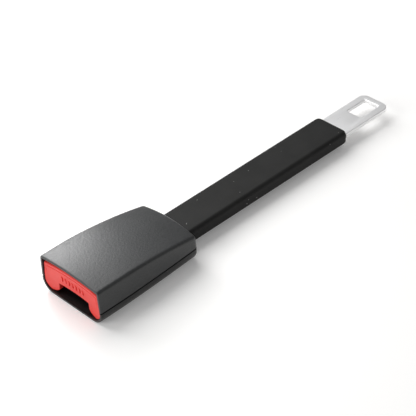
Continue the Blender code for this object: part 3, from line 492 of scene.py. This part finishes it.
def roof(x, across):
    """Height of the housing's inner top above a point."""
    back = x - mouth
    return ridge_height(back) + crown(across, half_width(back) - SIDE_LEAN) - COVER_WALL


def column(x, across):
    """A screw column hanging from the roof, with a blind pilot hole from below."""
    top, hole_top = roof(x, across) + COVER_WALL / 2, upper_low.z + PILOT_DEPTH
    return turned_shape((x, across, 0), [
        (0, top), (COLUMN_RADIUS, top), (COLUMN_RADIUS, upper_low.z), (PILOT_RADIUS, upper_low.z),
        (PILOT_RADIUS, hole_top), (0, hole_top)], 24)


def spring_peg(x):
    """The peg under the roof that holds the latch's spring."""
    top, end = roof(x, 0) + COVER_WALL / 2, roof(x, 0) - PEG_LENGTH
    return turned_shape((x, 0, 0), [(0, top), (PEG_RADIUS, top), (PEG_RADIUS, end), (0, end)], 20)


cover_finish, cover_shader, cover_place = new_finish("cover_plastic", 0.33, specular=COVER_SPECULAR)
grain = cover_place.noise(GRAIN_PER_METRE, 3.0)
mottle = cover_place.noise(GRAIN_PER_METRE / 3).between(0.25, 0.75)
cloud = cover_place.noise(GRAIN_PER_METRE / 90, 3.0).between(0.3, 0.75)
behind, aside, above = cover_place.along("X") - mouth, cover_place.along("Y"), cover_place.along("Z")
# Painted shade: the mouth's inside, seen through the notch, is painted near black.
painted_mouth_shade = (behind.between(*MOUTH_SHADE_BACK) * above.between(*MOUTH_SHADE_FLOOR) * above.fading(*MOUTH_SHADE_TOP)
            * (aside * aside).fading(MOUTH_SHADE_SIDE[0] ** 2, MOUTH_SHADE_SIDE[1] ** 2))
# Painted shade: the parting groove's inside is painted near black.
none, full = GROOVE_SHADE_EDGE
painted_groove_shade = (above.between(lower_level + none, lower_level + full)
             * above.fading(upper_low.z - full, upper_low.z - none))
pale_share = cloud * 0.3 + mottle * 0.3 + grain * 0.4
# Painted shade: the tray below the parting line is painted darker than the upper cover.
cover_black_and_tray_shade = above.between(lower_level, upper_low.z).blend(
    pale_share.blend(TRAY_SHADE_BLACK, TRAY_SHADE_PALE), pale_share.blend(COVER_BLACK, COVER_PALE))
feed(cover_shader, Base_Color=(painted_mouth_shade + painted_groove_shade).blend(cover_black_and_tray_shade, PAINTED_SHADE_BLACK),
     Roughness=0.30 + 0.07 * cloud + 0.08 * mottle, Normal=(0.5 * grain + 0.5 * mottle).bump(GRAIN_DEPTH))

upper_shape = folded_wall(upper_half, (upper_low.z, SLEEVE_TOP + GAP))
upper_cover = new_piece("upper_cover_shell", *upper_shape, cover_finish)
shaped(upper_cover, "UNION",
       [column(*spot) for spot in screw_spots] + [spring_peg(mouth + LATCH_SPRING_BACK)])
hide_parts("upper_cover")
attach(upper_cover, "housing")

# Lower cover.
# The tray under the mechanism: a lead-in ramp behind the mouth, a rim that laps behind the parting groove,
# and four stepped wells for the screws, moulded in the same black plastic, which the cover's finish paints
# darker below the parting line as painted shade.
RAMP_HALF = 0.0120
RAMP_BACK = 0.0097
CHANNEL_FLOOR = 0.0037
LAP_START, LAP_END = 0.0149, 0.0696      # behind the mouth
LAP_STEPS = 16
LAP_THICKNESS = 0.0008
LAP_HEIGHT = 0.0012
BOSS_RADIUS = 0.0029
BOSS_FOOT = 0.96 * COVER_WALL     # just below the floor's inside, so that the boss joins it
WELL_RADIUS = 0.0023
WELL_DEPTH = 0.0032
BORE_RADIUS = 0.0014


def lead_in():
    """The ramp up which the tongue slides into the channel."""
    start, end = mouth + COVER_WALL, mouth + RAMP_BACK
    return prism_shape([(start, COVER_WALL / 2), (end, COVER_WALL / 2), (end, CHANNEL_FLOOR),
                        (end - 2 * GAP, CHANNEL_FLOOR), (start, COVER_WALL)], -RAMP_HALF, RAMP_HALF)


def lap_rim(side):
    """A thin wall inside the tray's edge that stands up behind the parting groove, following the taper."""
    backs = np.linspace(LAP_START, LAP_END, LAP_STEPS)
    outer = half_width(backs, COVER_WALL) - GAP - SIDE_LEAN / 4
    inner, root = outer - LAP_THICKNESS, outer + COVER_WALL / 2
    across = np.stack([inner, root, root, outer, outer, inner], 1)
    top = lower_high.z - lower_level
    step = np.array([-2 * LAP_HEIGHT, -2 * LAP_HEIGHT, -COVER_WALL / 4, 0, top, top])
    points = np.stack([np.broadcast_to(mouth + backs[:, None], across.shape), side * across,
                       np.broadcast_to(lower_level + step, across.shape)], -1)
    return points, rod_faces(LAP_STEPS, 6)


def screw_boss(x, across):
    """The post round a well, which the column above stands on."""
    seat = upper_low.z - PARTING_SHUT
    return turned_shape((x, across, 0), [
        (0, BOSS_FOOT), (BOSS_RADIUS, BOSS_FOOT), (BOSS_RADIUS, seat), (0, seat)], 28)


def screw_well(x, across):
    """A cutter for the head's well from below and for the shank's bore through the post."""
    below, above = -COVER_WALL, lower_level + COVER_WALL
    return turned_shape((x, across, 0), [(0, below), (WELL_RADIUS, below), (WELL_RADIUS, WELL_DEPTH),
                                         (BORE_RADIUS, WELL_DEPTH), (BORE_RADIUS, above), (0, above)], 28)


lower_shape = folded_wall(lower_half, (lower_level, SLEEVE_FLOOR - GAP))
lower_cover = new_piece("lower_cover_shell", *lower_shape, cover_finish)
shaped(lower_cover, "UNION",
       [lead_in(), lap_rim(-1), lap_rim(1)] + [screw_boss(*spot) for spot in screw_spots])
shaped(lower_cover, "DIFFERENCE", [screw_well(*spot) for spot in screw_spots])
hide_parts("lower_cover")
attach(lower_cover, "housing")

# Release button.
# A coral red moulded cap that fills the mouth: its face is dished, has a fine line along its rim and a row of
# raised grip bars, and is notched below for the tongue. Two arms run back inside beside the frame.
RIM_GAP = 0.0017                  # from the housing's outside to the button
TOP_GAP = 0.0019
FACE_FRONT = 0.0005
FACE_DISH = 0.0017
FLATTER_TOP = 0.75                # share of the dish that is gone at the top
FACE_STEPS = ((0.0, 0.72, 16), (0.74, 1.0, 26))    # from the notch to the rim: share of the way, and rows
FACE_BACK = 0.0042
SKIRT_END = 0.0087
SKIRT_WALL = 0.0015
BUTTON_CORNER = 0.0010
LEAST_CORNER = 0.0003             # smallest radius of a corner that is moved inward
NOTCH_HALF = 0.0123
NOTCH_TOP = 0.0088
NOTCH_CORNER = 0.0005
FLARE_TOP = 0.0056
TIP_TURN = math.radians(-78.65)   # on the lower corner's arc, where the leg ends
KNEE_RISE = 0.0007                # from the tip to the level of the flare's knee
CORNER_POINTS, SIDE_POINTS, BEND_POINTS, OVER_POINTS = 15, 8, 6, 26    # of the stretches of both outlines
TIP_HELD = 6                      # points inside the skirt that stay at the tip
EDGE_ROUND = 0.00045
TOP_ROUND = 0.0011
TOP_LEVELS = (0.012, 0.016)       # the rim's rounding grows to its top size between these
RIM_LINE = (0.0024, 0.00026, 0.00030)    # inward from the rim, half width, depth
GRIP_BARS = 7
GRIP_PITCH = 0.0029
GRIP_SIZE = (0.00050, 0.00065, 0.0018)   # half sizes: proud of the face, across and up
GRIP_LEVEL = 0.0142
GRIP_POWER = 0.55                 # under 1 makes the bars' outline squarer
BUTTON_RED = (0.77, 0.048, 0.038, 1.0)
BUTTON_DEEP = (0.72, 0.040, 0.031, 1.0)
BUTTON_SPECULAR = 0.32
ARM_IN, ARM_OUT = 0.0141, 0.0157
ARM_HEIGHT = 0.0060
ARM_END = 0.0342                  # behind the mouth
BAR_TRAVEL = 0.0045
SPRING_PEG = (0.0011, 0.0025)     # radius and length

frame_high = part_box("frame")[1]
bar_low, bar_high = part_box("lock_bar")
spring_low, spring_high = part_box("button_spring_left")
spring_spot = (spring_low + spring_high) / 2
coil_reach = (spring_high.y - spring_low.y) / 2
arm_top = frame_high.z - 2 * GAP
arm_back = mouth + ARM_END


def notch_line():
    """Half of the notch's edge: from the leg's tip in a hollow flare, up the leg and across to the middle."""
    share = np.linspace(0, 1, CORNER_POINTS)[:, None]
    tip = arc((buckle_half - LOWER_RADIUS, LOWER_RADIUS), LOWER_RADIUS - RIM_GAP, TIP_TURN, TIP_TURN, 1)[0]
    knee, top = np.array((NOTCH_HALF, tip[1] + KNEE_RISE)), np.array((NOTCH_HALF, FLARE_TOP))
    flare = (1 - share) ** 2 * tip + 2 * share * (1 - share) * knee + share ** 2 * top
    corner = NOTCH_HALF - NOTCH_CORNER, NOTCH_TOP - NOTCH_CORNER
    bend = arc(corner, NOTCH_CORNER, 0, quarter, BEND_POINTS)
    leg = flare[-1] + np.linspace(0, 1, SIDE_POINTS)[1:, None] * (bend[0] - flare[-1])
    over = np.linspace(bend[-1], (0, NOTCH_TOP), OVER_POINTS)[1:]
    return np.concatenate([flare, leg, bend[1:], over])


def rim_line(inset, held=0):
    """Half of the button's outline moved inward, from the leg's tip round to the top's middle, with as many
    points as the notch's edge. The first held points stay at the tip, so that no face folds over there."""
    half, soft = buckle_half - RIM_GAP - inset, max(BUTTON_CORNER - inset, LEAST_CORNER)
    radius = LOWER_RADIUS - RIM_GAP - inset
    top, ridge = half - SIDE_LEAN, ridge_level - RIM_GAP - TOP_GAP - inset
    turn = np.interp(range(CORNER_POINTS), (held, CORNER_POINTS - 1), (TIP_TURN, 0))
    low_arc = np.stack([half - radius + radius * np.cos(turn), LOWER_RADIUS + radius * np.sin(turn)], -1)
    bend = arc((top - soft, ridge - soft), soft, 0, quarter, BEND_POINTS)
    side = low_arc[-1] + np.linspace(0, 1, SIDE_POINTS)[1:, None] * (bend[0] - low_arc[-1])
    over = (top - soft) * np.linspace(1, 0, OVER_POINTS)[1:]
    rise = crown(over, top) - crown(top - soft, top)
    return np.concatenate([low_arc, side, bend[1:], np.stack([over, ridge + rise], -1)])


def dished(across, level):
    """Distance of the button's face behind the mouth: a parabola across the width, flatter at the top."""
    high = np.clip((level - NOTCH_TOP) / (ridge_level - NOTCH_TOP), 0, 1)
    return FACE_FRONT + FACE_DISH * (1 - FLATTER_TOP * high) * (1 - (across / (buckle_half - RIM_GAP)) ** 2)


def button_cap():
    """The cap as one folded wall, each row a line from one leg's tip over the top to the other's. The rows go
    from the notch's edge over the face to the rim, back along the skirt, in, and forward to the notch."""
    notch, rim, inner = notch_line(), rim_line(0), rim_line(SKIRT_WALL, TIP_HELD)
    width = np.hypot(*(rim - notch).T)[:, None]
    most = width / 3                  # where the face is narrow, a rounded edge takes no more of it
    inwards = (notch - rim) / np.maximum(width, 1e-9)
    on_top = np.clip((rim[:, 1] - TOP_LEVELS[0]) / (TOP_LEVELS[1] - TOP_LEVELS[0]), 0, 1)
    edge = EDGE_ROUND + (TOP_ROUND - EDGE_ROUND) * on_top
    rim_edge = np.minimum(edge[:, None], most)
    line_place, line_half, line_depth = RIM_LINE
    rows, depth = [], []
    for turn in np.linspace(0, quarter, 6)[:-1]:
        rows.append(notch - inwards * np.minimum(EDGE_ROUND * (1 - math.cos(turn)), most))
        depth.append(EDGE_ROUND * (1 - math.sin(turn)))
    for share in np.concatenate([np.linspace(*steps) for steps in FACE_STEPS]):
        inward = np.clip(width - rim_edge, 0, None) * (1 - share) + rim_edge
        inward = np.minimum(inward, width - np.minimum(EDGE_ROUND, most))
        rows.append(rim + inwards * inward)
        depth.append(line_depth * np.exp(-((inward[:, 0] - line_place) / line_half) ** 2) * on_top)
    for turn in np.linspace(0, quarter, 6)[1:]:
        rows.append(rim + inwards * rim_edge * (1 - math.sin(turn)))
        depth.append(edge * (1 - math.cos(turn)))
    backs = [dished(row[:, 0], row[:, 1]) + deep for row, deep in zip(rows, depth)]
    fixed = [(rim, FACE_BACK), (rim, SKIRT_END), (inner, SKIRT_END), (inner, FACE_BACK), (notch, FACE_BACK)]
    across, height = mirrored(np.array(rows + [line for line, _ in fixed]))
    backs = np.array(backs + [np.full(len(line), back) for line, back in fixed])
    points = np.stack([mouth + np.concatenate([backs, backs[:, -2::-1]], 1), across, height], -1)
    count, columns = across.shape
    foot = np.arange(count - len(fixed), count - 1) * columns
    feet = [foot.tolist(), (foot[::-1] + columns - 1).tolist()]
    return points, grid_faces(count, columns, rows_close=True) + feet


def arm_parts(side):
    """One arm and the pad and peg for its spring, as closed shapes, and the cutter of its window."""
    def across(inner, outer):
        return sorted((side * inner, side * outer))

    (inner, outer), (pad_in, pad_out) = across(ARM_IN, ARM_OUT), across(ARM_IN, spring_spot.y + coil_reach)
    (cut_in, cut_out), base = across(ARM_IN - GAP, ARM_OUT + GAP), arm_top - ARM_HEIGHT
    thick, (peg_radius, peg_length) = ARM_OUT - ARM_IN, SPRING_PEG
    strip = block_shape((mouth + FACE_BACK - SKIRT_WALL / 2, inner, base), (arm_back, outer, arm_top))
    pad = block_shape((arm_back - thick, pad_in, base), (arm_back + GAP / 2, pad_out, spring_high.z))
    peg = turned_shape((0, side * spring_spot.y, spring_spot.z), [
        (0, arm_back - thick / 2), (peg_radius, arm_back - thick / 2),
        (peg_radius, arm_back + peg_length), (0, arm_back + peg_length)], 20, axis=0)
    window = block_shape((bar_low.x - BAR_TRAVEL - GAP, cut_in, bar_low.z - GAP),
                         (bar_high.x + GAP, cut_out, bar_high.z + GAP))
    return [strip, pad, peg], window


def grip_bar(across):
    """A small raised bar with round edges on the dished face: a ball whose sides are squared by a power."""
    rings, sides = 13, 24
    around = np.linspace(0, 2 * np.pi, sides, endpoint=False)
    up, around = np.meshgrid(np.linspace(-quarter, quarter, rings), around, indexing="ij")

    def squared(wave):
        return np.sign(wave) * np.abs(wave) ** GRIP_POWER

    proud, wide, tall = GRIP_SIZE
    points = np.stack([proud * squared(np.cos(up)) * squared(np.cos(around)),
                       wide * squared(np.cos(up)) * squared(np.sin(around)), tall * squared(np.sin(up))], -1)
    place = mouth + dished(across, GRIP_LEVEL), across, GRIP_LEVEL
    return points + place, grid_faces(rings, sides, columns_close=True)


button_finish, button_shader, button_place = new_finish("button_plastic", 0.34, specular=BUTTON_SPECULAR)
speckle = button_place.noise(GRAIN_PER_METRE * 0.8)
patch = button_place.noise(70).between(0.25, 0.75)
feed(button_shader, Base_Color=patch.blend(BUTTON_DEEP, BUTTON_RED), Roughness=0.30 + 0.10 * patch,
     Normal=speckle.bump(0.00003))

release_button = new_piece("release_button_cap", *button_cap(), button_finish)
(left_arm, left_window), (right_arm, right_window) = arm_parts(-1), arm_parts(1)
grips = [grip_bar(GRIP_PITCH * (i - (GRIP_BARS - 1) / 2)) for i in range(GRIP_BARS)]
shaped(release_button, "UNION", left_arm + right_arm + grips)
shaped(release_button, "DIFFERENCE", [left_window, right_window])
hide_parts("release_button")
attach(release_button, "button")

# Sleeve.
# A stiff matt black tube moulded over the webbing. Its flange is held behind the housing's rear wall, and its
# far end is rounded and closed round the tongue.
SLEEVE_END_ROUND = 0.0030
FLANGE = (0.01405, 0.0017, 0.0137)       # half width, floor and top
FLANGE_LENGTH = 0.0024
FLANGE_SOFT = 0.0004
SECTION_STEPS = (24, 10)          # of the section's long and short straights
SECTION_BEND = 9                  # points of each of its corners
BORE = (0.0111, 0.0044, 0.0110)          # the space for the webbing: half width, floor and top
BORE_RADIUS_INSIDE = 0.0012
BORE_END = 0.2076
SLOT = (0.0110, 0.0063, 0.0095)          # the tongue's way out: half width, floor and top
SLOT_RADIUS = 0.0005
SLEEVE_BLACK = (0.0115, 0.0115, 0.0112, 1.0)
SLEEVE_PALE = (0.0185, 0.0185, 0.0180, 1.0)
SPECK = (0.20, 0.20, 0.19, 1.0)
SLEEVE_SPECULAR = 0.16
FINE_PER_METRE = 1900
DUST_PER_METRE = 520
DUST_FROM = (0.842, 0.872)        # of the noise: only its peaks show as specks

sleeve_low, sleeve_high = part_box("sleeve")


def round_rectangle(half, low, high, radius):
    """A rectangle with round corners as (y, z) points, its long and short straights divided too."""
    middle, reach = (low + high) / 2, (high - low) / 2 - radius
    corners = []
    for turn, (side, up) in enumerate(((1, 1), (-1, 1), (-1, -1), (1, -1))):
        centre = side * (half - radius), middle + up * reach
        corners.append(arc(centre, radius, turn * quarter, (turn + 1) * quarter, SECTION_BEND))
    points = []
    for corner, following, steps in zip(corners, corners[1:] + corners[:1], SECTION_STEPS * 2):
        straight = corner[-1] + np.linspace(0, 1, steps + 1)[1:-1, None] * (following[0] - corner[-1])
        points += [corner, straight]
    return np.concatenate(points)


def sleeve_shape():
    """The tube as one closed loop of rings: flange, outside, rounded end, slot, bore and back."""
    start, end = sleeve_low.x, sleeve_high.x
    outer = (SLEEVE_HALF, SLEEVE_FLOOR, SLEEVE_TOP, SLEEVE_RADIUS)
    flange_end = start + FLANGE_LENGTH

    def moved_in(section, inset, upright):
        half, low, high, radius = section
        return half - inset, low + upright, high - upright, max(radius - upright, LEAST_CORNER)

    flange = (*FLANGE, SLEEVE_RADIUS)
    soft_flange = moved_in(flange, FLANGE_SOFT, FLANGE_SOFT)
    rings = [(start, soft_flange), (start + FLANGE_SOFT, flange), (flange_end - FLANGE_SOFT, flange),
             (flange_end, soft_flange), (flange_end, outer)]
    rings += [(x, outer) for x in np.linspace(flange_end, end - SLEEVE_END_ROUND, 40)[1:]]
    for turn in np.linspace(0, quarter, 10)[1:]:
        away = SLEEVE_END_ROUND * (1 - math.cos(turn))
        rings.append((end - SLEEVE_END_ROUND * (1 - math.sin(turn)), moved_in(outer, away, away / 2)))
    rings += [(end, (*SLOT, SLOT_RADIUS)), (mouth + BORE_END, (*SLOT, SLOT_RADIUS)),
              (mouth + BORE_END, (*BORE, BORE_RADIUS_INSIDE)), (start, (*BORE, BORE_RADIUS_INSIDE))]
    points = [np.insert(round_rectangle(*section), 0, x, axis=1) for x, section in rings]
    return np.array(points), grid_faces(len(rings), len(points[0]), True, True)


sleeve_finish, sleeve_shader, sleeve_place = new_finish("sleeve_plastic", 0.55, specular=SLEEVE_SPECULAR)
fine = sleeve_place.noise(FINE_PER_METRE, 3.0)
wide_cloud = sleeve_place.noise(60, 3.0).between(0.3, 0.7)
sleeve_black = (wide_cloud * 0.6 + fine * 0.4).blend(SLEEVE_BLACK, SLEEVE_PALE)
dust = sleeve_place.noise(DUST_PER_METRE, 0.0).between(*DUST_FROM)
feed(sleeve_shader, Base_Color=dust.blend(sleeve_black, SPECK), Roughness=0.50 + 0.12 * fine,
     Normal=fine.bump(0.00004))
sleeve = new_piece("sleeve_tube", *sleeve_shape(), sleeve_finish)
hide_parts("sleeve")
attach(sleeve, "housing")

# Tongue.
# A stamped plate of satin stainless steel with rounded tip corners, the latch's window near its tip and the
# webbing's eye at its hidden end. Its edges are tumbled round, and faint rolling streaks run along it.
TONGUE_CORNER = 0.0050
TONGUE_BACK_CORNER = 0.0015
TONGUE_EDGE = 0.00045
WINDOW_OPENING = (0.2289, 0.2454, 0.0057, 0.0012)     # back from and to, half width, corner
EYE_OPENING = (0.1995, 0.2035, 0.0078, 0.0012)
STEEL_COLOUR = (0.97, 0.97, 0.972, 1.0)
STEEL_DARK = (0.90, 0.90, 0.905, 1.0)
ROLLED_STREAKS = (60, 4200, 4200)    # in a metre along X, Y and Z

tongue_low, tongue_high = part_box("tongue")


def plate_line(start, end, half, start_corner, end_corner, count):
    """A flat outline of (x, y) points: a rectangle with its own corner radius at each end."""
    corners = ((end - end_corner, half - end_corner, end_corner, 0),
               (start + start_corner, half - start_corner, start_corner, 1),
               (start + start_corner, start_corner - half, start_corner, 2),
               (end - end_corner, end_corner - half, end_corner, 3))
    return np.concatenate([arc((x, y), radius, turn * quarter, (turn + 1) * quarter, count)
                           for x, y, radius, turn in corners])


def soft_plate(line, low, high, inward):
    """A plate with round edges from its outline, moved inward along its normals towards its two faces, or
    with inward -1 a cutter that widens towards them and runs on past them."""
    run = np.roll(line, -1, 0) - np.roll(line, 1, 0)
    normal = np.stack([run[:, 1], -run[:, 0]], -1) / np.hypot(*run.T)[:, None]
    turns = np.linspace(0, quarter, 7)
    upper = [(high - TONGUE_EDGE * (1 - math.sin(turn)), TONGUE_EDGE * (1 - math.cos(turn)))
             for turn in turns]
    if inward < 0:
        upper.append((high + TONGUE_EDGE, TONGUE_EDGE))
    steps = [(low + high - level, away) for level, away in upper[::-1]] + upper
    rings = np.array([np.insert(line - inward * away * normal, 2, level, axis=1) for level, away in steps])
    return rings, rod_faces(len(steps), len(line))


def opening(start, end, half, corner):
    """The cutter of the window or the eye."""
    line = plate_line(mouth + start, mouth + end, half, corner, corner, 8)
    return soft_plate(line, tongue_low.z, tongue_high.z, -1)


tongue_finish, tongue_shader, tongue_place = new_finish("tongue_steel", 0.28, 0.6)
rolled = tongue_place.streaks(ROLLED_STREAKS)
hazy = tongue_place.noise(90, 3.0).between(0.3, 0.7)
feed(tongue_shader, Base_Color=(rolled * 0.5 + hazy * 0.5).blend(STEEL_DARK, STEEL_COLOUR),
     Roughness=0.24 + 0.14 * rolled, Normal=rolled.bump(0.000012))
tongue_line = plate_line(tongue_low.x, tongue_high.x, tongue_high.y, TONGUE_BACK_CORNER, TONGUE_CORNER, 24)
tongue = new_piece("tongue_plate", *soft_plate(tongue_line, tongue_low.z, tongue_high.z, 1), tongue_finish)
shaped(tongue, "DIFFERENCE", [opening(*WINDOW_OPENING), opening(*EYE_OPENING)])
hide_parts("tongue")
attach(tongue, "housing")

# Springs.
# Bright drawn wire, coiled with closed end turns: behind the ejector, behind each arm of the button and above
# the latch.
WIRE = 0.0005                     # thickness
WIRE_SIDES = 12
WIRE_SHARP = 50                   # degrees
TURN_STEPS = 36
END_TURN = 0.8                    # of a turn, which lies closed
WIRE_COLOUR = (0.60, 0.60, 0.62, 1.0)
WIRE_DARK = (0.42, 0.42, 0.45, 1.0)

spring_finish, spring_shader, spring_place = new_finish("spring_steel", 0.22, 1.0)
drawn = spring_place.noise(3000)
feed(spring_shader, Base_Color=drawn.blend(WIRE_DARK, WIRE_COLOUR), Roughness=0.18 + 0.14 * drawn,
     Normal=drawn.bump(0.000008))


def coil_spring(node, turns, axis):
    """A spring in the place of a node's box along an axis. Its rise is slow in the end turns, which lie
    closed, and even between them."""
    low, high = (np.array(corner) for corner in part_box(node))
    length, reach = high[axis] - low[axis], (min(np.delete(high - low, axis)) - WIRE) / 2
    turn = np.linspace(0, turns, turns * TURN_STEPS + 1)
    closed = END_TURN * WIRE / (length - WIRE)
    share = np.interp(turn, (0, END_TURN, turns - END_TURN, turns), (0, closed, 1 - closed, 1))
    rise = WIRE / 2 + (length - WIRE) * share
    round_wire = np.linspace(0, 2 * np.pi, WIRE_SIDES + 1)[:-1]
    out = reach + WIRE / 2 * np.cos(round_wire)
    angle = 2 * np.pi * turn[:, None]
    points = np.zeros((len(turn), WIRE_SIDES, 3))
    points[..., (axis + 1) % 3] = out * np.cos(angle)
    points[..., (axis + 2) % 3] = out * np.sin(angle)
    points[..., axis] = rise[:, None] + WIRE / 2 * np.sin(round_wire)
    middle = (low + high) / 2
    middle[axis] = low[axis]
    faces = rod_faces(len(turn), WIRE_SIDES)
    spring = new_piece(f"{node}_wire", points + middle, faces, spring_finish, WIRE_SHARP)
    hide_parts(node)
    return spring, low, high


def pressed_spring(node):
    """A spring coiled along X in a node's place, carried with the housing, with a mesh of its own."""
    spring, low, high = coil_spring(node, turns=6, axis=0)
    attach(spring, "housing")
    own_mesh(spring)


pressed_spring("ejector_spring")
pressed_spring("button_spring_left")
pressed_spring("button_spring_right")
latch_wire, seat, crest = coil_spring("latch_spring", turns=4, axis=2)
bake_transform(latch_wire)

# Cover screws.
# Zinc-plated self-tapping screws with a cross recess, sunk in the tray's wells, their threads in the columns.
HEAD_HEIGHT = 0.0012
HEAD_RADIUS = 0.0020
HEAD_ROUND = 0.0003
THREAD_RADIUS = 0.00094
CORE_RADIUS = 0.00070
THREAD_PITCH = 0.00080
THREAD_RUN = 0.0085               # from the tip
THREAD_CREST = 1.5                # over 1 makes the crest narrower
TIP_LENGTH = 0.0012
TIP_BLUNT = 0.15                  # of the core's radius, left at the tip
SCREW_SIDES = 36
RECESS = (0.0013, 0.00026, 0.0008)       # half length, half width and depth
ZINC_COLOUR = (0.66, 0.67, 0.68, 1.0)
ZINC_DARK = (0.48, 0.49, 0.52, 1.0)

zinc_finish, zinc_shader, zinc_place = new_finish("zinc_steel", 0.32, 1.0)
spangle = zinc_place.noise(420, 4.0).between(0.3, 0.7)
feed(zinc_shader, Base_Color=spangle.blend(ZINC_DARK, ZINC_COLOUR), Roughness=0.26 + 0.18 * spangle,
     Normal=zinc_place.noise(2600).bump(0.000012))


def screw_shape(x, across, low, high):
    """Head, plain shank, thread and tip as rings round an upright axis. The thread is a triangle wave of the
    level and the turn, so that its crest winds up the core."""
    head_top = low + HEAD_HEIGHT
    head = [(HEAD_RADIUS - HEAD_ROUND * (1 - math.sin(turn)), low + HEAD_ROUND * (1 - math.cos(turn)))
            for turn in np.linspace(0, quarter, 6)]
    head = [(0.0, low), *head, (HEAD_RADIUS, head_top), (CORE_RADIUS, head_top)]
    levels = np.linspace(head_top + HEAD_ROUND, high - TIP_LENGTH / 8, 150)
    turn = np.linspace(0, 2 * np.pi, SCREW_SIDES + 1)[:-1]
    wave = np.abs((levels[:, None] / THREAD_PITCH - turn / (2 * np.pi)) % 1 - 0.5) * 2
    to_tip = (high - levels) / TIP_LENGTH
    ends = np.clip((levels - (high - THREAD_RUN)) / THREAD_PITCH, 0, 1) * np.clip(to_tip, 0, 1)
    core = CORE_RADIUS * np.clip(TIP_BLUNT + to_tip, 0, 1)
    shaft = core[:, None] + (THREAD_RADIUS - CORE_RADIUS) * wave ** THREAD_CREST * ends[:, None]
    reach = np.concatenate([np.tile(np.array([r for r, _ in head])[:, None], SCREW_SIDES), shaft,
                            np.zeros((1, SCREW_SIDES))])
    level = np.concatenate([[z for _, z in head], levels, [high]])
    points = np.stack([x + reach * np.cos(turn), across + reach * np.sin(turn),
                       np.broadcast_to(level[:, None], reach.shape)], -1)
    return points, grid_faces(len(level), SCREW_SIDES, columns_close=True)


for number in range(1, 5):
    screw_low, screw_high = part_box(f"cover_screw_{number}")
    x, across = (screw_low.x + screw_high.x) / 2, (screw_low.y + screw_high.y) / 2
    screw_body = screw_shape(x, across, screw_low.z, screw_high.z)
    screw = new_piece(f"cover_screw_body_{number}", *screw_body, zinc_finish)
    half_long, half_wide, deep = RECESS
    slots = [block_shape((x - a, across - b, screw_low.z - deep), (x + a, across + b, screw_low.z + deep))
             for a, b in ((half_long, half_wide), (half_wide, half_long))]
    shaped(screw, "DIFFERENCE", slots)
    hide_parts(f"cover_screw_{number}")
    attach(screw, "housing")

# Inner pieces.
# The folded frame, the pins, the hardened latch and lock bar, the moulded guide and ejector, and the sewn
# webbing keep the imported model's shapes, with a finish for each.
HARD_COLOUR = (0.42, 0.42, 0.43, 1.0)
HARD_DARK = (0.27, 0.27, 0.29, 1.0)
NYLON_COLOUR = (0.075, 0.076, 0.078, 1.0)
NYLON_DARK = (0.045, 0.046, 0.048, 1.0)
WEB_COLOUR = (0.040, 0.040, 0.043, 1.0)
WEB_DARK = (0.012, 0.012, 0.013, 1.0)
RIB_PITCH = 0.0011                # along the webbing
YARN_PITCH = 0.0006               # across it
MILL_STREAKS = (300, 3000, 3000)  # in a metre along X, Y and Z
THREAD_COLOUR = (0.40, 0.40, 0.41, 1.0)
THREAD_SHADE = (0.19, 0.19, 0.20, 1.0)
TWIST_PITCH = 0.0005


def paint(finish, *nodes):
    """Gives carried-over nodes a finish."""
    for node in nodes:
        for material_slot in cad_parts[node].material_slots:
            material_slot.material = finish


hard_finish, hard_shader, hard_place = new_finish("hardened_steel", 0.35, 1.0)
mill = hard_place.streaks(MILL_STREAKS)
feed(hard_shader, Base_Color=mill.blend(HARD_DARK, HARD_COLOUR), Roughness=0.28 + 0.2 * mill,
     Normal=mill.bump(0.00001))

nylon_finish, nylon_shader, nylon_place = new_finish("inner_plastic", 0.45)
moulded = nylon_place.noise(900, 3.0)
feed(nylon_shader, Base_Color=moulded.blend(NYLON_DARK, NYLON_COLOUR), Roughness=0.38 + 0.2 * moulded,
     Normal=moulded.bump(0.00003))

web_finish, web_shader, web_place = new_finish("webbing_weave", 0.8)
rib = (web_place.along("X") * (2 * math.pi / RIB_PITCH)).sine()
yarn = (web_place.along("Y") * (2 * math.pi / YARN_PITCH)).sine()
weave = (rib * yarn * 0.5 + 0.5) * 0.8 + 0.2 * web_place.noise(3000)
feed(web_shader, Base_Color=weave.blend(WEB_DARK, WEB_COLOUR), Roughness=0.7 + 0.2 * weave,
     Normal=weave.bump(0.0001))

thread_finish, thread_shader, thread_place = new_finish("sewing_thread", 0.7)
ply = ((thread_place.along("X") + thread_place.along("Y")) * (2 * math.pi / TWIST_PITCH)).sine() * 0.5 + 0.5
feed(thread_shader, Base_Color=ply.blend(THREAD_SHADE, THREAD_COLOUR), Roughness=0.6 + 0.2 * ply,
     Normal=ply.bump(0.00006))

paint(zinc_finish, "frame", "latch_pin", "anchor_pin")
paint(hard_finish, "latch", "lock_bar")
paint(nylon_finish, "tongue_guide", "ejector")
paint(web_finish, "webbing")
paint(thread_finish, "seam_buckle_end", "seam_tongue_end")
